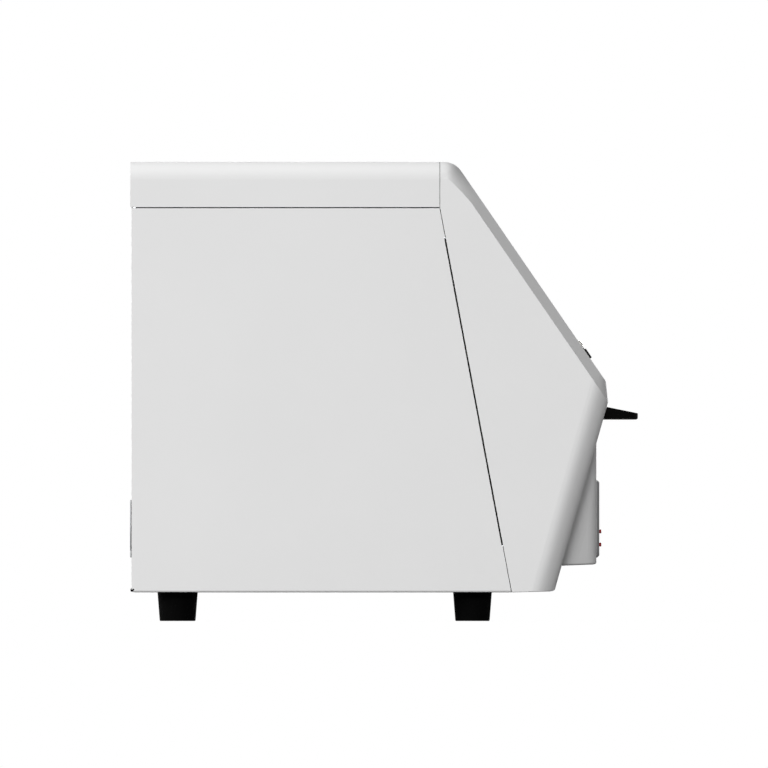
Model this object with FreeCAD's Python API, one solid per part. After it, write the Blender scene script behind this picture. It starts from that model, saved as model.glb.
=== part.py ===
"""A bench-top reflow oven with a pull-out drawer, made as separate pieces, one STEP file each.

The oven stands on its feet at Z = 0. Its front faces -Y, +X is the right-hand side seen from the front, and
the origin is under the middle of its box. Millimetres throughout. Side outlines are lists of (depth, height)
points: depth runs forwards from the outer face of the rear panel.
"""

import FreeCAD, Part
import math
import os

Placement = FreeCAD.Placement
Rotation = FreeCAD.Rotation
Vector = FreeCAD.Vector

# Driving dimensions of the outside

WIDTH = 560.0
BODY_TOP = 459.0
BODY_BOTTOM = 29.0
HANDLE_REACH = 507.3
GUARD_REACH = 2.2
SHEET = 1.5
SHELL_WALL = 3.0
FRAME_SHEET = 2.0

SLOPE_TOP = (323.0, 459.0)
NOSE_TOP = (474.0, 239.5)
NOSE_FOOT = (476.3, 218.9)
CHIN = (422.7, 30.0)
SEAM_TOP = (308.0, 413.0)
SEAM_FOOT = (379.6, 29.0)
TOP_BEND_RADIUS = 20.0
NOSE_RADIUS = 3.0
TOP_SIDE_RADIUS = 18.0
LOWER_SIDE_RADIUS = 22.0
EDGE_TURN = (-6.0, 56.0)

SEAM_GAP = 0.7
SEAM_STEP = 1.0
SEAM_STEP_LOW = 75.0
SEAM_STEP_HIGH = 383.0
COVER_GAP = 1.1
COVER_TAB = 37.0
COVER_TAB_RISE = 0.25
COVER_OVERHANG = 1.3
CORNER_NOTCH = 2.5
TOP_LAP = 5.0
TOP_STRIP_HALF = 249.0
FRAME_GAP = 0.5

FOOT_DEPTHS = (44.5, 341.2)
FOOT_SIDE = 225.0
FOOT_TOP_RADIUS = 19.0
FOOT_BOTTOM_RADIUS = 16.75
FOOT_POCKET_RADIUS = 7.5
FOOT_POCKET_DEPTH = 15.0
FOOT_SCREW_RADIUS = 2.5
FOOT_SCREW_HOLE = 2.8

# Driving dimensions of the control pod

POD_REACH = 465.4
POD_HALF = 116.0
POD_CORNER = 16.0
POD_COVE = 29.0
POD_DRAFT = 28.0
POD_FLOOR = 57.2
POD_FLOOR_FALL = 0.04
POD_FLOOR_ROUND = 2.0
POD_BACK = 415.0
POD_ROOF = 200.0
PLATE_HALF = 105.0
PLATE_LOW = 63.8
PLATE_HIGH = 141.4
PLATE_THICK = 3.0
PLATE_CHAMFER = 2.0
PLATE_CORNER = 5.0
LENS = (-4.0, 96.0, 72.0, 133.0)
LENS_RIM = 6.0
LENS_SINK = 0.3
LENS_CORNER = 3.0
LENS_GAP = 0.2
KEY_SPOTS = {"up": (-68.0, 119.0), "down": (-68.0, 86.0), "start": (-37.0, 119.0), "stop": (-37.0, 86.0)}
KEY_WIDE = 22.0
KEY_TALL = 18.0
KEY_CORNER = 2.5
KEY_GAP = 0.3
KEY_FLANGE = 2.0
KEY_TRAVEL = 1.0
LAMP_SIDE = -92.0
LAMP_HEIGHTS = (90.0, 76.8)
LAMP_RADIUS = 1.75
LAMP_REACH = 470.0
LAMP_GAP = 0.15
BOARD_GAP = 7.0
BOARD_THICK = 1.6
BUTTON_HIGH = 3.6
CONNECTOR_DEEP = 6.0

# Driving dimensions of the chamber

CAVITY_HALF = 180.0
CAVITY = ((115.0, 122.0), (400.0, 122.0), (400.0, 276.4), (349.4, 350.0), (115.0, 350.0))
LINER = 1.0
INSULATION = 30.0
CASING = 1.0
MOUTH_HALF = 170.0
MOUTH_LOW = 187.5
MOUTH_HIGH = 211.5
MOUTH_SHEET = 1.5
MOUTH_FRONT = 441.5
MOUTH_FLANGE_HALF = 192.0
MOUTH_FLANGE_LOW = 176.0
MOUTH_FLANGE_HIGH = 223.0
STAND_SIDE = 140.0
STAND_DEPTHS = (130.0, 350.0)
STAND_WIDE = 24.0

HEATER_RADIUS = 6.0
HEATER_HALF = 230.0
HEATER_HOLE = 6.6
HEATER_DEPTHS = (176.0, 230.0, 284.0, 338.0)
HEATER_HEIGHTS = (140.0, 330.0)
SOCKET_RADIUS = 10.0
PROBE_RADIUS = 1.5
PROBE_HOLE = 1.8
PROBE_HEIGHT = 304.0
PROBE_DEPTHS = (220.0, 300.0)

BLOWER_HEIGHT = 236.0
SHAFT_RADIUS = 4.0
SHAFT_CLEARANCE = 0.05
SHAFT_HOLE = 7.0
WHEEL_RADIUS = 60.0
WHEEL_BACK = 120.0
WHEEL_FRONT = 144.5
HUB_FRONT = 136.5
BAFFLE_DEPTH = 152.0
BAFFLE_SHEET = 1.2

# Driving dimensions of the drawer and its slides

SLOT_HALF = 239.0
SLOT_LOW = 183.0
SLOT_HIGH = 216.0
SLOT_CORNER = 4.0
DRAWER_GAP = 1.0
DRAWER_WALL = 2.5
DRAWER_CORNER = 3.0
BACK_PLATE = (445.0, 447.0)
PLUG_BACK = 425.0
PLUG_GAP = 1.0
GASKET_HALF = 186.0
RACK_HALF = 164.0
RACK_BACK = 162.0
RACK_ROD = 2.0
RACK_WIRE = 1.5
RACK_ROD_HEIGHT = 191.5
RACK_WIRES = 17
RACK_RODS = 5
HANDLE_HALF = 95.0
HANDLE_LOW = 203.3
HANDLE_ROOT = 215.2
HANDLE_TIP = 208.7
HANDLE_CORNER = 14.0

SLIDE_SIDE = 212.0
FIXED_WIDE = 8.0
MIDDLE_WIDE = 7.0
INNER_WIDE = 6.9
SLIDE_HEIGHT = 199.5
FIXED_HALF = 13.0
SLIDE_SHEET = 1.2
SLIDE_GAP = 0.3
SLIDE_STEP = 1.8
FIXED_RAIL = (120.0, 430.0)
MIDDLE_RAIL = (125.0, 425.0)
INNER_RAIL = (130.0, 430.0)

# Driving dimensions of the window, the switch and the rear fittings

GLASS_HALF = 180.0
GLASS_LOW = 62.0
GLASS_HIGH = 200.0
GLASS_FIT = 0.5
GLASS_CORNER = 8.0
RETAINER_SHEET = 2.5
RETAINER_LAP = 10.0
VIEW_HALF = 157.0
VIEW_LOW = 83.0
VIEW_HIGH = 155.0
VIEW_SHEET = 1.0
VIEW_LEDGE = 8.0
INNER_GLASS_THICK = 4.0
WINDOW_DEPTH = 39.0

SWITCH_SIDE = -215.0
SWITCH_RISE = 34.4
SWITCH_LONG = 6.5
SWITCH_WIDE = 9.5
SWITCH_SINK = 1.2
SWITCH_PROUD = 2.5
SWITCH_LIP = 1.2
SWITCH_FIT = 0.4
SWITCH_LEDGE = 1.0
ROCKER_LONG = 4.2
ROCKER_WIDE = 8.0
ROCKER_PROUD = 1.8
ROCKER_TILT = 7.0
ROCKER_PIVOT = -2.0
ROCKER_PIN = 1.2
PILOT_RISE = 45.6
PILOT_RADIUS = 4.0
PILOT_RIM = 1.2
PILOT_PROUD = 3.0
PILOT_STEM = 3.0
PILOT_GAP = 0.1

FAN_SIDE = -170.0
FAN_HEIGHT = 92.5
FAN_HALF = 30.0
FAN_DEEP = 25.0
FAN_BORE = 28.5
FAN_SCREW = 25.0
FAN_AXLE = 1.5
EAR_THICK = 1.2
REAR_SCREW_SIDE = 270.0
REAR_SCREW_HEIGHTS = (60.0, 170.0, 290.0, 405.0)
SCREW_RADIUS = 1.7
SCREW_HEAD = 3.2
SCREW_LONG = 7.0
GUARD_WIRE = 0.9
GUARD_SPOKE = 0.7
GUARD_RADIUS = 28.1
INLET_SIDE = 190.0
INLET_PROUD = 1.8
INLET_FIT = 0.2
INLET_BACK = 26.0
PIN_TIP = 3.5
SINK_HIGH = 19.0
SINK_PLATE = 5.0

# Values worked out from the driving dimensions

HALF = WIDTH / 2
REAR_Y = (HANDLE_REACH - GUARD_REACH) / 2
SLOPE_TILT = math.degrees(math.atan2(SLOPE_TOP[1] - NOSE_TOP[1], NOSE_TOP[0] - SLOPE_TOP[0]))
LOWER_TILT = math.degrees(math.atan2(NOSE_FOOT[1] - CHIN[1], CHIN[0] - NOSE_FOOT[0]))
LOWER_FALL = (NOSE_FOOT[0] - CHIN[0]) / (NOSE_FOOT[1] - CHIN[1])
BEND_ANGLE = math.radians(SLOPE_TILT)
BEND_START = SLOPE_TOP[0] - TOP_BEND_RADIUS * math.tan(BEND_ANGLE / 2)
BEND_LENGTH = TOP_BEND_RADIUS * BEND_ANGLE
SEAM_FALL = (SEAM_FOOT[0] - SEAM_TOP[0]) / (SEAM_TOP[1] - SEAM_FOOT[1])
POD_INSIDE = POD_REACH - SHELL_WALL
PLATE_FRONT = POD_REACH + PLATE_THICK
PAN_TOP = BODY_BOTTOM + SHEET
SINK_TOP = PAN_TOP + SINK_HIGH
PANEL_IN = HALF - SHEET
FRAME_IN = PANEL_IN - FRAME_SHEET
JACKET = LINER + INSULATION + CASING
CASING_HALF = CAVITY_HALF + JACKET
CASING_REAR = CAVITY[0][0] - JACKET
CASING_FLOOR = CAVITY[0][1] - JACKET
MIDDLE_HALF = FIXED_HALF - SLIDE_SHEET - SLIDE_GAP
INNER_HALF = MIDDLE_HALF - SLIDE_SHEET - SLIDE_GAP
DRAWER_HALF = SLOT_HALF - DRAWER_GAP
DRAWER_LOW = SLOT_LOW + DRAWER_GAP
DRAWER_HIGH = SLOT_HIGH - DRAWER_GAP
BOARD_FRONT = POD_INSIDE - BOARD_GAP
BOARD_BACK = BOARD_FRONT - BOARD_THICK
FAN_FRONT = SHEET + FAN_DEEP

# Reaches of the cuts and tolerances of the searches

FAR = 700.0
PAST = 1.0
DEEP = 20.0
NEAR = 0.01
TOUCH = 1e-6


# Shape helpers

def spot(x, depth, height):
    """A point from its sideways place, its depth in front of the rear panel and its height."""
    return Vector(x, REAR_Y - depth, height)


def block(x0, x1, depth0, depth1, z0, z1):
    """A box between two sideways places, two depths and two heights."""
    return Part.makeBox(x1 - x0, depth1 - depth0, z1 - z0, spot(x0, depth1, z0))


def rod(x, depth0, depth1, height, radius):
    """A round bar that runs from front to back."""
    return Part.makeCylinder(radius, depth1 - depth0, spot(x, depth0, height), Vector(0, -1, 0))


def cross_rod(x0, x1, depth, height, radius):
    """A round bar that runs from side to side."""
    return Part.makeCylinder(radius, x1 - x0, spot(x0, depth, height), Vector(1, 0, 0))


def post(x, depth, z0, z1, radius):
    """An upright round bar."""
    return Part.makeCylinder(radius, z1 - z0, spot(x, depth, z0))


def merge(shapes):
    """The shapes as one, with the seams between their faces taken out."""
    first, *others = shapes
    return first.multiFuse(others).removeSplitter() if others else first


def both_sides(shape):
    """The shape and its mirror image on the other side of the oven."""
    return [shape, shape.mirror(Vector(), Vector(1, 0, 0))]


def rounded_face(corners, place):
    """A flat face through corners (u, v, radius), each rounded by an arc. place turns (u, v) into a point."""
    bends = []
    for index, (u, v, radius) in enumerate(corners):
        here = Vector(u, v, 0)
        back = (Vector(*corners[index - 1][:2], 0) - here).normalize()
        ahead = (Vector(*corners[(index + 1) % len(corners)][:2], 0) - here).normalize()
        half = back.getAngle(ahead) / 2
        reach = radius / math.tan(half)
        inwards = (back + ahead).normalize() if radius else Vector()
        crown = here + inwards * (radius / math.sin(half) - radius)
        bends.append((here + back * reach, crown, here + ahead * reach))
    edges = []
    for index, (start, crown, end) in enumerate(bends):
        if corners[index][2]:
            edges.append(Part.Arc(place(start), place(crown), place(end)).toShape())
        following = bends[(index + 1) % len(bends)][0]
        if (following - end).Length > TOUCH:
            edges.append(Part.LineSegment(place(end), place(following)).toShape())
    return Part.Face(Part.Wire(edges))


def prism(outline, x0, x1):
    """A side outline of (depth, height) or (depth, height, radius) points, carried from x0 to x1."""
    corners = [(*point, 0.0)[:3] for point in outline]
    face = rounded_face(corners, lambda flat: spot(x0, flat.x, flat.y))
    return face.extrude(Vector(x1 - x0, 0, 0))


def plate(outline, depth0, depth1):
    """A front outline of (x, height) or (x, height, radius) points, carried from depth0 to depth1."""
    corners = [(*point, 0.0)[:3] for point in outline]
    face = rounded_face(corners, lambda flat: spot(flat.x, depth0, flat.y))
    return face.extrude(Vector(0, depth0 - depth1, 0))


def rounded_plate(x0, x1, z0, z1, radius, depth0, depth1):
    """An upright plate with four rounded corners."""
    outline = [(x0, z0, radius), (x1, z0, radius), (x1, z1, radius), (x0, z1, radius)]
    return plate(outline, depth0, depth1)


def inset(outline, amounts):
    """The outline with every side moved inwards by its own amount. Side i runs from point i to the next."""
    count = len(outline)
    pairs = [(outline[i], outline[(i + 1) % count]) for i in range(count)]
    turn = math.copysign(1.0, sum(a[0] * b[1] - b[0] * a[1] for a, b in pairs))
    lines = []
    for (a, b), amount in zip(pairs, amounts):
        along = ((b[0] - a[0]), (b[1] - a[1]))
        size = math.hypot(*along)
        across = (-along[1] / size * turn, along[0] / size * turn)
        lines.append((across, across[0] * a[0] + across[1] * a[1] + amount))
    moved = []
    for index in range(count):
        (p, q), reach = lines[index - 1]
        (r, s), stretch = lines[index]
        spread = p * s - q * r
        moved.append(((reach * s - stretch * q) / spread, (p * stretch - r * reach) / spread))
    return moved


def face_frame(depth, height, tilt):
    """A frame on an outer face: x sideways, y up along the face, z out of it."""
    return Placement(spot(0, depth, height), Rotation(Vector(1, 0, 0), tilt))


TOP_FACE = face_frame(0.0, BODY_TOP, 0.0)
SLOPE_FACE = face_frame(*NOSE_TOP, SLOPE_TILT)
LOWER_FACE = face_frame(*CHIN, LOWER_TILT)


def face_block(frame, x0, x1, y0, y1, z0, z1):
    """A box in the frame of an outer face."""
    shape = Part.makeBox(x1 - x0, y1 - y0, z1 - z0, Vector(x0, y0, z0))
    shape.Placement = frame
    return shape


def face_plate(frame, x0, x1, y0, y1, radius, z0, z1):
    """A plate with rounded corners in the frame of an outer face."""
    outline = [(x0, y0, radius), (x1, y0, radius), (x1, y1, radius), (x0, y1, radius)]
    shape = rounded_face(outline, lambda flat: Vector(flat.x, flat.y, z0)).extrude(Vector(0, 0, z1 - z0))
    shape.Placement = frame
    return shape


def lower_depth(height):
    """Depth of the lower front face at a height."""
    return NOSE_FOOT[0] - (NOSE_FOOT[1] - height) * LOWER_FALL


def seam_depth(height):
    """Depth of the slanting seam between side panel and front shell at a height."""
    return SEAM_TOP[0] + (SEAM_TOP[1] - height) * SEAM_FALL


def rise_over(frame, point):
    """How far a point stands out of an outer face."""
    return frame.inverse().multVec(point).z


SLOPE_CHAMFER = -rise_over(SLOPE_FACE, spot(0, *NOSE_FOOT))


def edges_near(shape, test):
    """The edges of a shape whose every corner passes the test."""
    return [edge for edge in shape.Edges if all(test(corner.Point) for corner in edge.Vertexes)]


# Front shell

def side_rounding(frame, radius, wall):
    """What is cut away to round both side edges of a face, for the form that lies a wall inside."""
    clear = 20.0
    turn = radius - wall
    middle = Vector(HALF - radius, -FAR, -radius)
    corner = Part.makeBox(turn + clear, 2 * FAR, turn + clear, middle)
    corner = corner.cut(Part.makeCylinder(turn, 2 * FAR, middle, Vector(0, 1, 0)))
    corner.Placement = frame
    return both_sides(corner)


def slope_chamfering(wall):
    """What is cut away to chamfer both side edges of the slope, for the form that lies a wall inside."""
    shift = wall * math.sqrt(0.5)
    outer = 40.0
    low = (HALF - shift + outer, -SLOPE_CHAMFER - shift - outer)
    high = (HALF - SLOPE_CHAMFER - shift - outer, outer - shift)
    points = [Vector(x, -FAR, z) for x, z in (low, high, (low[0], high[1]), low)]
    corner = Part.Face(Part.makePolygon(points)).extrude(Vector(0, 2 * FAR, 0))
    corner.Placement = SLOPE_FACE
    return both_sides(corner)


def nose_sector(level, wall):
    """Section of the nose's right-hand corner at a level over the slope, for the form a wall inside."""
    points = 9
    foot = SLOPE_FACE.inverse().multVec(spot(0, *NOSE_FOOT))
    band = foot.y / foot.z
    chin = SLOPE_FACE.inverse().multVec(spot(0, *CHIN))
    face_angle = math.atan2(foot.z - chin.z, foot.y - chin.y)
    middle = Vector(HALF - LOWER_SIDE_RADIUS, foot.y + LOWER_SIDE_RADIUS / math.sin(face_angle), level)
    wide = LOWER_SIDE_RADIUS - SLOPE_CHAMFER - level - wall * math.sqrt(2)
    long = middle.y - band * level - wall * math.hypot(foot.y, foot.z) / SLOPE_CHAMFER
    turns = [math.pi / 2 * step / (points - 1) for step in range(points)]
    around = [middle + Vector(wide * math.sin(turn), -long * math.cos(turn), 0) for turn in turns]
    curve = Part.BSplineCurve()
    curve.interpolate(Points=around, InitialTangent=Vector(1, 0, 0), FinalTangent=Vector(0, 1, 0))
    return Part.Wire([curve.toShape()] + Part.makePolygon([around[-1], middle, around[0]]).Edges)


def nose_rounding(wall):
    """What is cut away so that the chamfer runs round the nose's corners, for the form a wall inside."""
    top = 2.0
    clear = 40.0
    low = -SLOPE_CHAMFER - wall - PAST
    core = Part.makeLoft([nose_sector(low, wall), nose_sector(top, wall)], True, True)
    middle = nose_sector(low, wall).Vertexes[2].Point
    corner = Part.makeBox(clear, clear, top - low, middle - Vector(0, clear, 0))
    corner = corner.cut(core)
    corner.Placement = SLOPE_FACE
    return both_sides(corner)


def bent_top(along, inwards, down):
    """A point by the front's right-hand top edge: along the bent top, in from the side and down from the top.

    Along is measured from where the top starts to bend down to the slope.
    """
    turn = min(max(along / TOP_BEND_RADIUS, 0.0), BEND_ANGLE)
    before = min(along, 0.0)
    past = max(along - BEND_LENGTH, 0.0)
    radius = TOP_BEND_RADIUS - down
    depth = BEND_START + before + radius * math.sin(turn) + past * math.cos(turn)
    height = BODY_TOP - TOP_BEND_RADIUS + radius * math.cos(turn) - past * math.sin(turn)
    return spot(HALF - inwards, depth, height)


def edge_turn_section(along):
    """Section of what is cut off the side edge where its rounding turns into the slope's chamfer."""
    clear = 12.0
    round_middle = 1 - math.sqrt(0.5)
    nearly_flat = 0.49
    step = (along - EDGE_TURN[0]) / (EDGE_TURN[1] - EDGE_TURN[0])
    share = step * step * (3 - 2 * step)
    size = TOP_SIDE_RADIUS + (SLOPE_CHAMFER - TOP_SIDE_RADIUS) * share
    middle = size * (round_middle + (nearly_flat - round_middle) * share)
    low = bent_top(along, 0.0, size)
    high = bent_top(along, size, 0.0)
    curve = Part.Arc(low, bent_top(along, middle, middle), high).toShape()
    around = [
        high,
        bent_top(along, size, -clear),
        bent_top(along, -clear, -clear),
        bent_top(along, -clear, size),
        low,
    ]
    return Part.Wire([curve] + Part.makePolygon(around).Edges)


def edge_turning():
    """What is cut away where the top's rounded side edges turn into the slope's chamfers."""
    steps = 12
    start, end = EDGE_TURN
    sections = [edge_turn_section(start + (end - start) * step / steps) for step in range(steps + 1)]
    return both_sides(Part.makeLoft(sections, True))


def top_edges_off(wall):
    """What is cut away along the side edges of the top and the slope, for the form a wall inside."""
    rounding = side_rounding(TOP_FACE, TOP_SIDE_RADIUS, wall)
    chamfering = slope_chamfering(wall)
    if wall:
        return rounding + chamfering
    slope_length = math.dist(SLOPE_TOP, NOSE_TOP)
    chamfer_end = slope_length - (SLOPE_TOP[0] - BEND_START) - (EDGE_TURN[1] - BEND_LENGTH)
    top_reach = block(-FAR, FAR, -FAR, BEND_START + EDGE_TURN[0], -FAR, FAR)
    slope_reach = face_block(SLOPE_FACE, -FAR, FAR, -FAR, chamfer_end, -FAR, FAR)
    rounding = [corner.common(top_reach) for corner in rounding]
    chamfering = [corner.common(slope_reach) for corner in chamfering]
    return rounding + chamfering + edge_turning()


def front_form(wall, seam_inset):
    """The front's outer form moved inwards by a wall, with its open back edge moved by its own amount."""
    outline = [(SEAM_TOP[0], BODY_TOP), SLOPE_TOP, NOSE_TOP, NOSE_FOOT, CHIN, SEAM_FOOT, SEAM_TOP]
    moved = inset(outline, [wall] * 5 + [seam_inset] * 2)
    radii = [0, TOP_BEND_RADIUS, NOSE_RADIUS, NOSE_RADIUS, NOSE_RADIUS, 0, 0]
    corners = [(*point, max(radius - wall, 0.0)) for point, radius in zip(moved, radii)]
    form = prism(corners, wall - HALF, HALF - wall)
    corners_off = side_rounding(LOWER_FACE, LOWER_SIDE_RADIUS, wall) + nose_rounding(wall)
    for corner in top_edges_off(wall) + corners_off:
        form = form.cut(corner)
    return form


def pod_section(height, wall):
    """Level section of the pod's right-hand flank: a rounded corner, a drafted side and a hollow cove."""
    sink = 0.05
    least_run = 0.2
    behind = 6.0
    foot = lower_depth(height) - sink
    reach = POD_REACH - foot
    steepest = math.asin(1 - (reach - least_run) / (POD_CORNER + POD_COVE))
    turn = max(math.radians(POD_DRAFT), steepest)
    run = (reach - (POD_CORNER + POD_COVE) * (1 - math.sin(turn))) / math.cos(turn)
    arm = (POD_CORNER + POD_COVE) * math.cos(turn)
    cove_middle = POD_HALF + arm + run * math.sin(turn)

    def on_corner(angle):
        radius = POD_CORNER - wall
        depth = POD_REACH - POD_CORNER + radius * math.sin(angle)
        return spot(POD_HALF + radius * math.cos(angle), depth, height)

    def on_cove(angle):
        radius = POD_COVE + wall
        depth = foot + POD_COVE - radius * math.sin(angle)
        return spot(cove_middle - radius * math.cos(angle), depth, height)

    front = math.pi / 2
    between = (front + turn) / 2
    corner = Part.Arc(on_corner(front), on_corner(between), on_corner(turn)).toShape()
    side = Part.LineSegment(on_corner(turn), on_cove(turn)).toShape()
    cove = Part.Arc(on_cove(turn), on_cove(between), on_cove(front)).toShape()
    around = [
        on_cove(front),
        spot(cove_middle, foot - wall - behind, height),
        spot(POD_HALF, foot - wall - behind, height),
        on_corner(front),
    ]
    return Part.Wire([corner, side, cove] + Part.makePolygon(around).Edges)


def pod_form(wall):
    """The control pod moved inwards by a wall. It runs back into the front's hollow."""
    steps = 14
    below = 6.0
    least_reach = 0.5
    front = POD_REACH - wall
    floor = POD_FLOOR + wall
    floor_back = floor - (front - POD_BACK) * POD_FLOOR_FALL
    low = floor_back - below
    high = NOSE_FOOT[1] - (NOSE_FOOT[0] - POD_REACH + least_reach) / LOWER_FALL
    sections = [pod_section(low + (high - low) * step / steps, wall) for step in range(steps + 1)]
    flanks = both_sides(Part.makeLoft(sections, True))
    middle = block(-POD_HALF, POD_HALF, POD_BACK, front, low, POD_ROOF)
    back = [(-FAR, FAR), (-FAR, floor_back), (POD_BACK, floor_back)]
    side = [(front + PAST, floor), (front + PAST, FAR), *back]
    return merge([middle] + flanks).common(prism(side, -FAR, FAR))


def key_openings(margin, depth0, depth1):
    """Blocks through the plate or the pod's front wall where the keys pass."""
    wide = KEY_WIDE / 2 + margin
    tall = KEY_TALL / 2 + margin
    corner = KEY_CORNER + margin
    return [
        rounded_plate(x - wide, x + wide, z - tall, z + tall, corner, depth0, depth1)
        for x, z in KEY_SPOTS.values()
    ]


def lamp_openings(radius, depth0, depth1):
    """Round bars through the plate or the pod's front wall where the indicator lamps pass."""
    return [rod(LAMP_SIDE, depth0, depth1, height, radius) for height in LAMP_HEIGHTS]


def frame_lap(margin):
    """Side outline of the strip of front shell that laps the inner side frame."""
    front = 14.0 + margin
    back = 30.0
    low = 34.0 - margin
    high = 432.0 + margin
    return [
        (seam_depth(low) - back, low),
        (seam_depth(low) + front, low),
        (SEAM_TOP[0] + front, SEAM_TOP[1]),
        (SEAM_TOP[0] + front, high),
        (SEAM_TOP[0] - back, high),
    ]


def drawer_slot():
    """What is cut out of the front for the drawer."""
    depths = (430.0, 490.0)
    return rounded_plate(-SLOT_HALF, SLOT_HALF, SLOT_LOW, SLOT_HIGH, SLOT_CORNER, *depths)


def glass_opening():
    """What is cut out of the slope for the outer window glass."""
    half = GLASS_HALF + GLASS_FIT
    low = GLASS_LOW - GLASS_FIT
    high = GLASS_HIGH + GLASS_FIT
    return face_plate(SLOPE_FACE, -half, half, low, high, GLASS_CORNER + GLASS_FIT, -DEEP, DEEP)


def display_opening(depth0, depth1):
    """What is cut out of the pod's front wall behind the display lens."""
    corner = 1.5
    x0, x1, z0, z1 = LENS
    rim = LENS_RIM
    return rounded_plate(x0 + rim, x1 - rim, z0 + rim, z1 - rim, corner, depth0, depth1)


def top_lap(margin):
    """The strip under the top, where the front shell sits on the frame's top strip."""
    back = 290.0
    half = TOP_STRIP_HALF + 2 * margin
    front = SEAM_TOP[0] + TOP_LAP + margin
    return block(-half, half, back, front, BODY_TOP - SHEET - FRAME_SHEET - DEEP, BODY_TOP - SHEET)


def front_shell():
    solid = front_form(0.0, SEAM_GAP / 2).fuse(pod_form(0.0)).removeSplitter().Solids[0]
    open_back = -8.0
    shell = round_pod_floor(solid).cut(front_form(SHELL_WALL, open_back)).cut(pod_form(SHELL_WALL))
    wall = (POD_INSIDE - PAST, POD_REACH + PAST)
    frame_inner = 200.0
    cuts = [
        drawer_slot(),
        glass_opening(),
        switch_block(SWITCH_LONG + SWITCH_FIT, SWITCH_WIDE + SWITCH_FIT, -SWITCH_SINK, DEEP),
        switch_block(SWITCH_LONG - SWITCH_LEDGE, SWITCH_WIDE - SWITCH_LEDGE, -DEEP, PAST),
        pilot_post(PILOT_STEM + PILOT_GAP, -DEEP, PAST),
        display_opening(*wall),
        top_lap(FRAME_GAP),
    ]
    cuts += key_openings(KEY_GAP, *wall)
    cuts += lamp_openings(LAMP_RADIUS + LAMP_GAP, *wall)
    cuts += both_sides(prism(frame_lap(FRAME_GAP), frame_inner, PANEL_IN))
    for cut in cuts:
        shell = shell.cut(cut)
    return shell


def round_pod_floor(shell):
    """Rounds the edges of the pod's floor and the hollow corner where it meets the lower face."""
    floor_reach = 3.0

    def by_floor(point):
        return abs(point.z - POD_FLOOR) < floor_reach and abs(point.x) < HALF - LOWER_SIDE_RADIUS - PAST

    return shell.makeFillet(POD_FLOOR_ROUND, edges_near(shell, by_floor))


# Outer panels

def base_pan():
    front = seam_depth(BODY_BOTTOM) - SEAM_GAP / 2
    lip = PAN_TOP + 25.0
    rear_half = 260.0
    front_half = 270.0
    front_lip = front - 8.0
    side_back = 4.0
    pan = merge(
        [
            block(-PANEL_IN, PANEL_IN, SHEET, front, BODY_BOTTOM, PAN_TOP),
            block(-rear_half, rear_half, SHEET, 2 * SHEET, PAN_TOP, lip),
            block(-front_half, front_half, front_lip, front_lip + SHEET, PAN_TOP, lip),
        ]
        + both_sides(block(FRAME_IN - SHEET, FRAME_IN, side_back, front_lip, PAN_TOP, lip))
    )
    below = BODY_BOTTOM - PAST
    above = PAN_TOP + PAST
    cuts = [post(x, depth, below, above, FOOT_SCREW_HOLE) for x, depth in foot_spots()]
    vent_rows = 9
    vent_back = 180.0
    vent_pitch = 14.0
    vent_wide = 4.0
    vent_long = 40.0
    for row in range(vent_rows):
        depth = vent_back + vent_pitch * row
        for x in (-190.0, 150.0):
            cuts.append(block(x, x + vent_long, depth, depth + vent_wide, below, above))
    return pan.cut(Part.makeCompound(cuts))


def rear_panel():
    top = BODY_TOP - SHEET
    corner = TOP_SIDE_RADIUS - SHEET + 0.5
    outline = [
        (-PANEL_IN, BODY_BOTTOM),
        (PANEL_IN, BODY_BOTTOM),
        (PANEL_IN, top, corner),
        (-PANEL_IN, top, corner),
    ]
    through = (-PAST, SHEET + PAST)
    fan_opening = FAN_BORE - 0.5
    cuts = [rod(FAN_SIDE, *through, FAN_HEIGHT, fan_opening), inlet_body(INLET_FIT)]
    cuts += [rod(x, *through, z, SCREW_RADIUS) for x, z in rear_screw_spots() + fan_screw_spots()]
    cuts += [sunk_head(x, z) for x, z in rear_screw_spots()]
    vent_half = 2.0
    vent_corner = 1.9
    vent_tall = 60.0
    vent_pitch = 14.0
    for column in range(-7, 8):
        x = column * vent_pitch
        for low in (180.0, 300.0):
            vent = (x - vent_half, x + vent_half, low, low + vent_tall)
            cuts.append(rounded_plate(*vent, vent_corner, *through))
    return plate(outline, 0.0, SHEET).cut(Part.makeCompound(cuts))


def side_panel():
    half_gap = SEAM_GAP / 2
    top = SEAM_TOP[1] - COVER_GAP / 2

    def front_edge(height, step):
        return (seam_depth(height) - half_gap - step, height)

    outline = [
        (CORNER_NOTCH, BODY_BOTTOM),
        front_edge(BODY_BOTTOM, 0),
        front_edge(SEAM_STEP_LOW, 0),
        front_edge(SEAM_STEP_LOW, SEAM_STEP),
        front_edge(SEAM_STEP_HIGH, SEAM_STEP),
        front_edge(SEAM_STEP_HIGH, 0),
        front_edge(top, 0),
        (COVER_TAB, top),
        (COVER_TAB, top + COVER_TAB_RISE),
        (0.0, top + COVER_TAB_RISE),
        (0.0, BODY_BOTTOM + CORNER_NOTCH),
    ]
    return prism(outline, PANEL_IN, HALF)


def side_panel_left():
    return both_sides(side_panel())[1]


def side_panel_right():
    return side_panel()


def top_cover():
    low = SEAM_TOP[1] + COVER_GAP / 2
    inner = TOP_SIDE_RADIUS - SHEET
    outline = [
        (-HALF, low),
        (-HALF, BODY_TOP, TOP_SIDE_RADIUS),
        (HALF, BODY_TOP, TOP_SIDE_RADIUS),
        (HALF, low),
        (PANEL_IN, low),
        (PANEL_IN, BODY_TOP - SHEET, inner),
        (-PANEL_IN, BODY_TOP - SHEET, inner),
        (-PANEL_IN, low),
    ]
    return plate(outline, -COVER_OVERHANG, SEAM_TOP[0] - SEAM_GAP / 2)


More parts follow.
